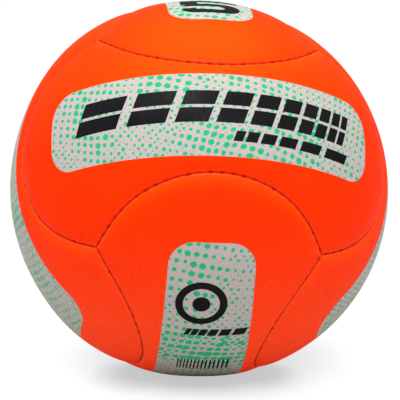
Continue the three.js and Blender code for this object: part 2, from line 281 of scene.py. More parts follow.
class PanelOutline:
    """A panel's outline in its own frame: x along its length, y across its waist, z outwards."""

    CORNER_SHARE = 0.12

    def __init__(self, ball: BallSizes, seam: SeamLine) -> None:
        """Keeps the ball's sizes and its seam line."""
        self.radius = ball.crown_radius
        self.seam = seam

    @staticmethod
    def to_end(points: Points) -> Points:
        """Turns points of a seam's own frame to the panel's end at +x."""
        return points[:, [2, 0, 1]]

    def corner_runs(self, inset: float) -> tuple[float, float]:
        """Where a line at this inset turns its corner.

        Args:
            inset: The distance in from the seams.

        Returns:
            The last run on the long side, and the last run on the end side.
        """
        start = 1 - 2 * self.CORNER_SHARE
        run = np.linspace(start, 1, 900)
        angle = inset / self.radius
        long_base, end_base = self.seam.offset(run, 0.0), self.to_end(self.seam.offset(run, 0.0))
        long_in, end_in = self.seam.offset(run, angle), self.to_end(self.seam.offset(run, -angle))

        def last(line: Points, other: Points) -> float:
            apart = np.sqrt(((line[:, None] - other[None]) ** 2).sum(axis=2)).min(axis=1)
            return float(np.interp(-angle, -apart, run))

        return last(long_in, end_base), last(end_in, long_base)

    def ring(self, inset: float, counts: tuple[int, int], opening: float, seam: SeamSizes) -> Ring:
        """One ring of points.

        Args:
            inset: The distance in from the seams.
            counts: The steps along a long side and along an end side.
            opening: How much further in the ring goes at a stitch hole.
            seam: The seam's sizes.

        Returns:
            The ring, anticlockwise from outside.
        """
        long_last, end_last = self.corner_runs(inset)
        first, last = self.seam.share_at(np.array([-long_last, long_last]))
        long_run = self.seam.run_at(np.linspace(first, last, counts[0] + 1)[:-1])
        end_run = np.linspace(-end_last, end_last, counts[1] + 1)[:-1]
        parts, shares, insets = [], [], []
        for run, side, is_long in (
            (long_run, -1, True),
            (end_run, 1, False),
            (-long_run, 1, True),
            (-end_run, -1, False),
        ):
            share = self.seam.share_at(run)
            deep = inset + opening * seam.pull(share)
            if is_long:
                points = self.seam.offset(run, deep / self.radius) * (1, side, 1)
            else:
                points = self.to_end(self.seam.offset(run, -deep / self.radius)) * (side, 1, 1)
            parts.append(points)
            shares.append(share)
            insets.append(deep)
        return Ring(np.concatenate(parts), np.concatenate(shares), np.concatenate(insets))

    def inside(self, ring: Ring, counts: tuple[int, int]) -> Points:
        """The grid of directions inside a ring, row by row, without the ring's own points.

        Args:
            ring: The ring round the grid.
            counts: The ring's steps along a long side and along an end side.

        Returns:
            Unit vectors, shaped (rows, columns, 3).
        """
        longs, ends = counts
        longitude = np.arctan2(ring.directions[:, 0], ring.directions[:, 2])
        latitude = np.arcsin(ring.directions[:, 1])
        corner = np.array([longitude[longs], latitude[longs + ends]])
        u = np.linspace(0, 1, longs + 1)[None, 1:-1]
        v = np.linspace(0, 1, ends + 1)[1:-1, None]
        low_side = slice(1, longs)
        end_side = slice(longs + 1, longs + ends)
        bulge = longitude[end_side][:, None] - corner[0]
        lift = latitude[end_side][:, None] - (2 * v - 1) * corner[1]
        lon = longitude[low_side][None] + (2 * u - 1) * bulge
        lat = -(2 * v - 1) * latitude[low_side][None] + lift * (2 * u - 1) ** 2
        return np.stack([np.cos(lat) * np.sin(lon), np.sin(lat), np.cos(lat) * np.cos(lon)], axis=2)

    def seam_distance(self, directions: Points) -> Points:
        """The distance from each direction to the nearest of the panel's four seams."""
        line = self.seam.points[::20]
        end = self.to_end(line)
        around = np.concatenate([line, line * (1, -1, 1), end, end * (-1, 1, 1)])
        tree = KDTree(len(around))
        for index, point in enumerate(around):
            tree.insert(point, index)
        tree.balance()
        return np.array([tree.find(place)[2] for place in directions]) * self.radius


@dataclass
class ShellMesh:
    """The points and faces of a closed shell in a panel's frame, with what its print is laid out on."""

    points: list[Points] = field(default_factory=list)
    insets: list[Points] = field(default_factory=list)
    pulls: list[Points] = field(default_factory=list)
    faces: Faces = field(default_factory=list)
    size: int = 0

    def add(self, points: Points, inset: Points, pull: Points) -> int:
        """Adds points and returns the index of the first."""
        first = self.size
        self.points.append(points)
        self.insets.append(np.broadcast_to(inset, len(points)))
        self.pulls.append(np.broadcast_to(pull, len(points)))
        self.size += len(points)
        return first

    def band(self, upper: int, lower: int, upper_count: int, lower_count: int, flipped: bool) -> None:
        """Joins two rings. The upper one, which is nearer the middle of the face, may have fewer points.

        Args:
            upper: The first point of the upper ring.
            lower: The first point of the lower ring.
            upper_count: The points of the upper ring.
            lower_count: The points of the lower ring, a multiple of the upper ring's.
            flipped: True on the inner side of a shell.
        """
        step = lower_count // upper_count
        for index in range(upper_count):
            after = (index + 1) % upper_count
            low = [lower + (index * step + extra) % lower_count for extra in range(step + 1)]
            face = [*low, upper + after, upper + index]
            self.faces.append(tuple(reversed(face)) if flipped else tuple(face))

    def cap(self, grid: int, ring: int, counts: tuple[int, int], flipped: bool) -> None:
        """Fills a ring with a grid of four-cornered faces.

        Args:
            grid: The first point of the grid inside the ring.
            ring: The first point of the ring.
            counts: The ring's steps along a long side and along an end side.
            flipped: True on the inner side of a shell.
        """
        longs, ends = counts

        def at(column: int, row: int) -> int:
            if row == 0:
                return ring + column
            if column == longs:
                return ring + longs + row
            if row == ends:
                return ring + longs + ends + (longs - column)
            if column == 0:
                return ring + 2 * longs + ends + (ends - row)
            return grid + (row - 1) * (longs - 1) + column - 1

        for row in range(ends):
            for column in range(longs):
                corners = [(column, row), (column + 1, row), (column + 1, row + 1), (column, row + 1)]
                face = [at(*corner) for corner in corners]
                self.faces.append(tuple(reversed(face)) if flipped else tuple(face))


# Shader graphs


class Graph:
    """Adds nodes to one node tree and wires them."""

    def __init__(self, tree: bpy.types.NodeTree) -> None:
        """Keeps the tree."""
        self.tree = tree

    def node(self, kind: str, **settings: object) -> bpy.types.Node:
        """Adds a node.

        Args:
            kind: The node's type, without its Shader prefix.
            settings: The node's own properties.

        Returns:
            The node.
        """
        made = self.tree.nodes.new(kind if kind.startswith("Node") else f"ShaderNode{kind}")
        for name, value in settings.items():
            setattr(made, name, value)
        return made

    def feed(self, socket: Socket, value: Value) -> None:
        """Wires a socket to another, or sets its value."""
        if isinstance(value, bpy.types.NodeSocket):
            self.tree.links.new(value, socket)
        else:
            socket.default_value = value

    def math(self, operation: str, *values: Value) -> Socket:
        """A number worked out from others."""
        made = self.node("Math", operation=operation)
        for socket, value in zip(made.inputs, values):
            self.feed(socket, value)
        return made.outputs[0]

    def vector(self, operation: str, *values: Value) -> Socket:
        """A vector worked out from others, or a length."""
        made = self.node("VectorMath", operation=operation)
        for socket, value in zip(made.inputs, values):
            self.feed(socket, value)
        return made.outputs["Value" if operation in ("LENGTH", "DOT_PRODUCT") else "Vector"]

    def scaled(self, vector: Socket, factor: Value) -> Socket:
        """A vector times a number."""
        made = self.node("VectorMath", operation="SCALE")
        self.feed(made.inputs[0], vector)
        self.feed(made.inputs["Scale"], factor)
        return made.outputs[0]

    def combine(self, x: Value, y: Value, z: Value = 0.0) -> Socket:
        """A vector of three numbers."""
        made = self.node("CombineXYZ")
        for socket, value in zip(made.inputs, (x, y, z)):
            self.feed(socket, value)
        return made.outputs[0]

    def separate(self, vector: Socket) -> tuple[Socket, Socket, Socket]:
        """A vector's three numbers."""
        made = self.node("SeparateXYZ")
        self.feed(made.inputs[0], vector)
        return tuple(made.outputs)

    def turned(self, vector: Socket, angle: Value) -> Socket:
        """A vector turned about z."""
        made = self.node("VectorRotate", rotation_type="Z_AXIS")
        self.feed(made.inputs["Vector"], vector)
        self.feed(made.inputs["Angle"], angle)
        return made.outputs[0]

    def ramp(
        self, value: Socket, low: Value, high: Value, to_low: Value = 0.0, to_high: Value = 1.0
    ) -> Socket:
        """A number eased from one pair of ends to another."""
        made = self.node("MapRange", interpolation_type="SMOOTHSTEP")
        for name, given in (
            ("Value", value),
            ("From Min", low),
            ("From Max", high),
            ("To Min", to_low),
            ("To Max", to_high),
        ):
            self.feed(made.inputs[name], given)
        return made.outputs[0]

    def mix(self, factor: Value, a: Value, b: Value, blend: str = "MIX") -> Socket:
        """Two colours mixed."""
        made = self.node("Mix", data_type="RGBA", blend_type=blend)
        for name, given in (("Factor_Float", factor), ("A_Color", a), ("B_Color", b)):
            self.feed(next(s for s in made.inputs if s.identifier == name), given)
        return next(s for s in made.outputs if s.identifier == "Result_Color")

    def noise(self, place: Socket, scale: Value, detail: float = 2.0, rough: float = 0.5) -> Socket:
        """Smooth noise about 0.5."""
        made = self.node("TexNoise")
        for name, given in (("Vector", place), ("Scale", scale), ("Detail", detail), ("Roughness", rough)):
            self.feed(made.inputs[name], given)
        return made.outputs["Fac"]

    def group(self, tree: bpy.types.NodeTree, **inputs: Value) -> bpy.types.Node:
        """Places a node group.

        Args:
            tree: The group.
            inputs: Its inputs, with _ for each space in a name.

        Returns:
            The group's node.
        """
        made = self.node("Group", node_tree=tree)
        for name, value in inputs.items():
            self.feed(made.inputs[name.replace("_", " ")], value)
        return made


class EffectGroup:
    """A node group with named sockets, built once and then shared."""

    name = ""
    inputs: tuple[tuple[str, str, float], ...] = ()
    outputs: tuple[str, ...] = ("Mask",)

    def tree(self) -> bpy.types.NodeTree:
        """The group, built on the first call."""
        found = bpy.data.node_groups.get(self.name)
        if found is not None:
            return found
        made = bpy.data.node_groups.new(self.name, "ShaderNodeTree")
        for label, kind, value in self.inputs:
            socket = made.interface.new_socket(name=label, in_out="INPUT", socket_type=f"NodeSocket{kind}")
            if kind == "Float":
                socket.default_value = value
        for label in self.outputs:
            made.interface.new_socket(name=label, in_out="OUTPUT", socket_type="NodeSocketFloat")
        graph = Graph(made)
        given = {socket.name: socket for socket in graph.node("NodeGroupInput").outputs if socket.name}
        results = self.wire(graph, given)
        end = graph.node("NodeGroupOutput")
        for label, result in results.items():
            graph.feed(end.inputs[label], result)
        return made

    def wire(self, graph: Graph, given: dict[str, Socket]) -> dict[str, Socket]:
        """Wires the group.

        Args:
            graph: The group's graph.
            given: Its inputs by name.

        Returns:
            Its outputs by name.
        """
        raise NotImplementedError


class RoundedField(EffectGroup):
    """A flat shape with straight sides and round corners."""

    name = "Rounded field"
    inputs = (
        ("Place", "Vector", 0.0),
        ("Middle", "Vector", 0.0),
        ("Half Length", "Float", 50.0),
        ("Half Width", "Float", 25.0),
        ("Corner", "Float", 10.0),
        ("Edge", "Float", 0.12),
    )

    def wire(self, graph: Graph, given: dict[str, Socket]) -> dict[str, Socket]:
        """See EffectGroup.wire."""
        x, y, _ = graph.separate(graph.vector("SUBTRACT", given["Place"], given["Middle"]))
        over_x, over_y = (
            self.beyond(graph, along, given[half], given["Corner"])
            for along, half in ((x, "Half Length"), (y, "Half Width"))
        )
        past_x, past_y = (graph.math("MAXIMUM", over, 0.0) for over in (over_x, over_y))
        outside = graph.vector("LENGTH", graph.combine(past_x, past_y))
        inside = graph.math("MINIMUM", graph.math("MAXIMUM", over_x, over_y), 0.0)
        away = graph.math("SUBTRACT", graph.math("ADD", outside, inside), given["Corner"])
        edge = given["Edge"]
        return {"Mask": graph.ramp(away, graph.math("MULTIPLY", edge, -1.0), edge, 1.0, 0.0)}

    @staticmethod
    def beyond(graph: Graph, along: Socket, half: Socket, corner: Socket) -> Socket:
        """How far a place is past the start of the corner's round, on one side."""
        return graph.math("ADD", graph.math("SUBTRACT", graph.math("ABSOLUTE", along), half), corner)


class DotLattice(EffectGroup):
    """Round dots on a grid whose rows waver. Each dot's size follows a smooth field."""

    SWAY_SCALE = 0.018
    SWAY_DETAIL = 0.5
    MID_GREY = (0.5, 0.5, 0.5)
    CELL_MIDDLE = (0.5, 0.5, 0.0)
    NUDGE_SHARE = 0.14
    CLUSTER_REACH = (4.0, 26.0)
    FIELD_RANGE = (0.34, 0.66)
    SOFT_EDGE = 0.12

    name = "Dot lattice"
    inputs = (
        ("Place", "Vector", 0.0),
        ("Turn", "Float", 0.0),
        ("Pitch", "Float", 4.0),
        ("Stretch", "Float", 1.0),
        ("Shift", "Float", 0.0),
        ("Sway", "Float", 16.0),
        ("Thin", "Float", 0.0),
        ("Thick", "Float", 2.0),
        ("Scatter", "Float", 0.3),
        ("Drift", "Float", 0.03),
        ("Cluster", "Float", 0.0),
        ("Growth", "Float", 0.0),
        ("Seed", "Float", 0.0),
    )

    def wire(self, graph: Graph, given: dict[str, Socket]) -> dict[str, Socket]:
        """See EffectGroup.wire."""
        depth = graph.combine(0.0, 0.0, given["Seed"])
        sway = graph.node("TexNoise")
        graph.feed(sway.inputs["Vector"], graph.vector("ADD", given["Place"], depth))
        sway.inputs["Scale"].default_value = self.SWAY_SCALE
        sway.inputs["Detail"].default_value = self.SWAY_DETAIL
        off_middle = graph.vector("SUBTRACT", sway.outputs["Color"], self.MID_GREY)
        bent = graph.vector("ADD", given["Place"], graph.scaled(off_middle, given["Sway"]))
        long_pitch = graph.math("MULTIPLY", given["Pitch"], given["Stretch"])
        pitch = graph.combine(long_pitch, given["Pitch"], 1.0)
        turned = graph.vector("MULTIPLY", graph.turned(bent, given["Turn"]), (1.0, 1.0, 0.0))
        shifted = graph.vector("ADD", turned, graph.scaled(pitch, given["Shift"]))
        corner = graph.vector("FLOOR", graph.vector("DIVIDE", shifted, pitch))
        draw = graph.math("ADD", given["Seed"], given["Shift"])
        key = graph.vector("ADD", corner, graph.combine(0.5, 0.5, draw))
        chance = graph.node("TexWhiteNoise", noise_dimensions="3D")
        graph.feed(chance.inputs["Vector"], key)
        off_grey = graph.vector("SUBTRACT", chance.outputs["Color"], self.MID_GREY)
        nudge = graph.scaled(off_grey, self.NUDGE_SHARE)
        cell_middle = graph.vector("ADD", corner, self.CELL_MIDDLE)
        middle = graph.vector("MULTIPLY", graph.vector("ADD", cell_middle, nudge), pitch)
        apart = graph.vector("MULTIPLY", graph.vector("SUBTRACT", shifted, middle), (1.0, 1.0, 0.0))
        away = graph.vector("LENGTH", apart)
        past_cluster = graph.math("SUBTRACT", graph.separate(middle)[0], given["Cluster"])
        off_cluster = graph.math("ABSOLUTE", past_cluster)
        in_cluster = graph.ramp(off_cluster, *self.CLUSTER_REACH, 1.0, 0.0)
        grown = graph.math("MULTIPLY", in_cluster, given["Growth"])
        size_field = graph.noise(graph.vector("ADD", middle, depth), given["Drift"], 1.0)
        size = graph.ramp(size_field, *self.FIELD_RANGE, given["Thin"], given["Thick"])
        size = graph.math("MULTIPLY", size, graph.math("ADD", 1.0, grown))
        luck = graph.math("SUBTRACT", chance.outputs["Value"], 0.5)
        varied = graph.math("MULTIPLY", luck, given["Scatter"])
        radius = graph.math("MULTIPLY", size, graph.math("ADD", 1.0, varied))
        low = graph.math("SUBTRACT", radius, self.SOFT_EDGE)
        high = graph.math("ADD", radius, self.SOFT_EDGE)
        return {"Mask": graph.ramp(away, low, high, 1.0, 0.0)}


class BarRun(EffectGroup):
    """Slanted bars in a row, each a fixed share as wide as the one before it."""

    LEAST = 0.0001

    name = "Bar run"
    inputs = (
        ("Place", "Vector", 0.0),
        ("Start", "Float", -80.0),
        ("First Pitch", "Float", 40.0),
        ("Ratio", "Float", 0.78),
        ("Count", "Float", 9.0),
        ("Low", "Float", -8.0),
        ("High", "Float", 8.0),
        ("Slant", "Float", 0.35),
        ("Fill", "Float", 0.8),
        ("Slot", "Float", 0.0),
    )

    def wire(self, graph: Graph, given: dict[str, Socket]) -> dict[str, Socket]:
        """See EffectGroup.wire."""
        x, y, _ = graph.separate(given["Place"])
        leaned = graph.math("SUBTRACT", x, graph.math("MULTIPLY", y, given["Slant"]))
        walked = graph.math("SUBTRACT", leaned, given["Start"])
        shrink = graph.math("DIVIDE", graph.math("SUBTRACT", 1.0, given["Ratio"]), given["First Pitch"])
        left = graph.math("SUBTRACT", 1.0, graph.math("MULTIPLY", walked, shrink))
        count = graph.math("LOGARITHM", graph.math("MAXIMUM", left, self.LEAST), given["Ratio"])
        in_bar = graph.math("LESS_THAN", graph.math("FRACT", count), given["Fill"])
        started = graph.math("GREATER_THAN", walked, 0.0)
        not_ended = graph.math("LESS_THAN", count, given["Count"])
        above = graph.math("GREATER_THAN", y, given["Low"])
        below = graph.math("LESS_THAN", y, given["High"])
        middle = graph.math("MULTIPLY", graph.math("ADD", given["Low"], given["High"]), 0.5)
        off_slot = graph.math("ABSOLUTE", graph.math("SUBTRACT", y, middle))
        beside = graph.math("GREATER_THAN", off_slot, given["Slot"])
        mask = in_bar
        for limit in (started, not_ended, above, below, beside):
            mask = graph.math("MULTIPLY", mask, limit)
        return {"Mask": mask}


class PebbleGrain(EffectGroup):
    """The fine pebbled grain of a coated skin: low round cells with creases between them."""

    WAVER_SCALE, WAVER_DETAIL, WAVER = 0.35, 2.0, 0.8
    FINE_SCALE, FINE_DETAIL, FINE_SHARE = 3.2, 3.0, 0.25
    SMOOTHNESS = 0.35
    CREASE_RANGE = (0.35, 0.75)

    name = "Pebble grain"
    inputs = (("Place", "Vector", 0.0), ("Cell", "Float", 0.9))
    outputs = ("Height", "Crease")

    def wire(self, graph: Graph, given: dict[str, Socket]) -> dict[str, Socket]:
        """See EffectGroup.wire."""
        waver = graph.noise(given["Place"], self.WAVER_SCALE, self.WAVER_DETAIL)
        shift = graph.scaled(graph.combine(waver, waver, waver), self.WAVER)
        bent = graph.vector("ADD", given["Place"], shift)
        cells = graph.node("TexVoronoi", feature="SMOOTH_F1")
        graph.feed(cells.inputs["Vector"], bent)
        graph.feed(cells.inputs["Scale"], graph.math("DIVIDE", 1.0, given["Cell"]))
        cells.inputs["Smoothness"].default_value = self.SMOOTHNESS
        round_top = graph.math("SUBTRACT", 1.0, cells.outputs["Distance"])
        fine = graph.noise(given["Place"], self.FINE_SCALE, self.FINE_DETAIL)
        height = graph.math("ADD", round_top, graph.math("MULTIPLY", fine, self.FINE_SHARE))
        return {"Height": height, "Crease": graph.ramp(cells.outputs["Distance"], *self.CREASE_RANGE)}


class SeamSoil(EffectGroup):
    """The darker line where two panels meet, darkest at the stitch holes: painted shade in the groove and
    the holes, with some dirt at the cut edges.
    """

    SHARPNESS = 2.5
    START = 0.1
    REACH, REACH_AT_HOLE = 0.75, 0.5
    DEPTH, DEPTH_AT_HOLE = 0.3, 0.4

    name = "Seam soil"
    inputs = (("Inset", "Float", 0.0), ("Pull", "Float", 0.0))

    def wire(self, graph: Graph, given: dict[str, Socket]) -> dict[str, Socket]:
        """See EffectGroup.wire."""
        sharp = graph.math("POWER", given["Pull"], self.SHARPNESS)
        reach = graph.math("ADD", self.REACH, graph.math("MULTIPLY", sharp, self.REACH_AT_HOLE))
        depth = graph.math("ADD", self.DEPTH, graph.math("MULTIPLY", sharp, self.DEPTH_AT_HOLE))
        near = graph.ramp(given["Inset"], self.START, reach, 1.0, 0.0)
        return {"Mask": graph.math("MULTIPLY", near, depth)}


class WornEdge(EffectGroup):
    """The band beside a seam where the skin is drawn tight and has a little shine."""

    RISE = (0.1, 0.5)
    FALL = (0.6, 2.4)

    name = "Worn edge"
    inputs = (("Inset", "Float", 0.0),)

    def wire(self, graph: Graph, given: dict[str, Socket]) -> dict[str, Socket]:
        """See EffectGroup.wire."""
        rise = graph.ramp(given["Inset"], *self.RISE)
        fall = graph.ramp(given["Inset"], *self.FALL, 1.0, 0.0)
        return {"Mask": graph.math("MULTIPLY", rise, fall)}


class SunAndSand(EffectGroup):
    """Painted light in the orange's tone: a painted sheen that turns it yellower higher up, around one spot
    on the upper front and where the surface faces up more than the ball does there, and a painted floor
    bounce that pales it low down.

    The amounts were matched to the tones that the real ball shows.
    """

    # Where the painted highlights fall and how strong they are, and the heights and amounts of the painted
    # top sheen and the painted floor bounce.
    SUNNED_SPOT = (-2.0, -61.0, 91.0)
    FADE_REACH, FADE = (15.0, 60.0), 0.56
    SLOPE_RANGE, SLOPE = (0.0, 0.16), 0.7
    WARM_HEIGHTS, WARM_TONES = (30.0, 75.0), (1.0, 1.4)
    DUST_HEIGHTS, DUST = (-110.0, 10.0), 0.06

    name = "Sun and sand"
    inputs = (("Place", "Vector", 0.0), ("Facing", "Vector", 0.0))
    outputs = ("Warmth", "Dust")

    def wire(self, graph: Graph, given: dict[str, Socket]) -> dict[str, Socket]:
        """See EffectGroup.wire."""
        height = graph.separate(given["Place"])[2]
        # A painted highlight around one spot on the upper front.
        from_spot = graph.vector("LENGTH", graph.vector("SUBTRACT", given["Place"], self.SUNNED_SPOT))
        faded = graph.ramp(from_spot, *self.FADE_REACH, self.FADE, 0.0)
        # A painted highlight where the surface faces up more than the ball does there, as on the rolled
        # edges beside the seams.
        outward = graph.separate(graph.vector("NORMALIZE", given["Place"]))[2]
        tilt = graph.math("SUBTRACT", graph.separate(given["Facing"])[2], outward)
        slope = graph.ramp(tilt, *self.SLOPE_RANGE, 0.0, self.SLOPE)
        # Painted top sheen: the orange turns yellower higher up.
        by_height = graph.ramp(height, *self.WARM_HEIGHTS, *self.WARM_TONES)
        warmth = graph.math("ADD", by_height, graph.math("MAXIMUM", faded, slope))
        # The painted floor bounce pales the orange low down.
        return {"Warmth": warmth, "Dust": graph.ramp(height, *self.DUST_HEIGHTS, self.DUST, 0.0)}


class EdgeRoll(EffectGroup):
    """The last few millimetres of a panel, where the padded skin rolls down to the seam."""

    REACH = 3.0
    DROP = 1.2

    name = "Edge roll"
    inputs = (("Inset", "Float", 0.0),)
    outputs = ("Height",)

    def wire(self, graph: Graph, given: dict[str, Socket]) -> dict[str, Socket]:
        """See EffectGroup.wire."""
        near = graph.math("EXPONENT", graph.math("MULTIPLY", given["Inset"], -1 / self.REACH))
        return {"Height": graph.math("MULTIPLY", near, -self.DROP)}


class InkStreak(EffectGroup):
    """Fine streaks that the squeegee leaves in printed ink."""

    DRAWN_OUT = (1.6, 0.14, 1.0)
    STREAK_RANGE, STREAK_TONES = (0.35, 0.7), (0.3, 1.0)
    BROAD_SCALE = 0.03
    BROAD_RANGE, BROAD_TONES = (0.35, 0.65), (0.35, 1.0)

    name = "Ink streak"
    inputs = (("Place", "Vector", 0.0),)

    def wire(self, graph: Graph, given: dict[str, Socket]) -> dict[str, Socket]:
        """See EffectGroup.wire."""
        drawn = graph.vector("MULTIPLY", given["Place"], self.DRAWN_OUT)
        broad = graph.noise(given["Place"], self.BROAD_SCALE, 1.0)
        streak = graph.ramp(graph.noise(drawn, 1.0, 3.0), *self.STREAK_RANGE, *self.STREAK_TONES)
        patchy = graph.ramp(broad, *self.BROAD_RANGE, *self.BROAD_TONES)
        return {"Mask": graph.math("MULTIPLY", streak, patchy)}


class Weave(EffectGroup):
    """A plain weave: two sets of yarns that pass over and under each other."""

    GAP_RANGE = (0.1, 0.4)

    name = "Plain weave"
    inputs = (("Place", "Vector", 0.0), ("Yarn", "Float", 0.6))
    outputs = ("Height", "Gap")

    def wire(self, graph: Graph, given: dict[str, Socket]) -> dict[str, Socket]:
        """See EffectGroup.wire."""
        turns = graph.math("DIVIDE", math.pi, given["Yarn"])
        x, y, _ = graph.separate(graph.scaled(given["Place"], turns))
        wave_x, wave_y = graph.math("SINE", x), graph.math("SINE", y)
        along, across = graph.math("ABSOLUTE", wave_x), graph.math("ABSOLUTE", wave_y)
        checks = graph.math("GREATER_THAN", graph.math("MULTIPLY", wave_x, wave_y), 0.0)
        over = graph.math("MULTIPLY", along, checks)
        under = graph.math("MULTIPLY", across, graph.math("SUBTRACT", 1.0, checks))
        height = graph.math("ADD", over, under)
        return {"Height": height, "Gap": graph.ramp(height, *self.GAP_RANGE, 1.0, 0.0)}


# Finishes


class Motif(Enum):
    """What is printed in black on a panel's pale field."""

    NONE = "dots only"
    WIDE_BARS = "a long run of bars"
    TARGET = "a ring round a spot, and a short run of bars"
    SIZE_FIGURE = "the figure of the ball's size"


@dataclass(frozen=True)
class PrintLayout:
    """Where a panel's field lies and what is on it, in millimetres in the panel's frame."""

    motif: Motif = Motif.NONE
    half_length: float = 99.0
    half_width: float = 24.8
    middle: tuple[float, float] = (0.0, 0.0)
    bend: float = 0.0
    taper: float = 0.5
    corner: float = 14.6
    seed: float = 0.0
    dots_turn: float = 0.2
    dots_pitch: float = 4.6
    dots_stretch: float = 1.0
    dots_sway: float = 16.0
    dots_drift: float = 0.03
    dots_cluster: float = 0.0
    dots_growth: float = 0.0


@dataclass(frozen=True)
class Finish:
    """The colours and gloss of one material. Colours are linear."""

    name: str
    colour: tuple[float, float, float]
    second: tuple[float, float, float]
    roughness: float = 0.5
    gloss: float = 0.3

    def begin(self) -> tuple[bpy.types.Material, Graph, bpy.types.Node]:
        """Starts the material.

        Returns:
            The material, its graph and its Principled shader.
        """
        made = bpy.data.materials.new(self.name)
        made.use_nodes = True
        shader = made.node_tree.nodes["Principled BSDF"]
        shader.inputs["Roughness"].default_value = self.roughness
        shader.inputs["Specular IOR Level"].default_value = self.gloss
        made.diffuse_color = (*self.colour, 1.0)
        return made, Graph(made.node_tree), shader

    @staticmethod
    def raised(graph: Graph, shader: bpy.types.Node, height: Socket, depth: float, strength: float) -> None:
        """Feeds a height to the shader's normal.

        Args:
            graph: The material's graph.
            shader: Its Principled shader.
            height: The height, about 0 to 1.
            depth: What a height of 1 stands for.
            strength: How much of it shows.
        """
        bump = graph.node("Bump")
        bump.inputs["Distance"].default_value = depth
        bump.inputs["Strength"].default_value = strength
        graph.feed(bump.inputs["Height"], height)
        graph.feed(shader.inputs["Normal"], bump.outputs[0])


def millimetres(graph: Graph) -> Socket:
    """The place on the surface in the row frame, in millimetres."""
    where = graph.node("TexCoord")
    return graph.scaled(where.outputs["Object"], 1 / MM)


def attribute(graph: Graph, name: str) -> bpy.types.Node:
    """The node that reads one of the mesh's own attributes."""
    return graph.node("Attribute", attribute_name=name, attribute_type="GEOMETRY")


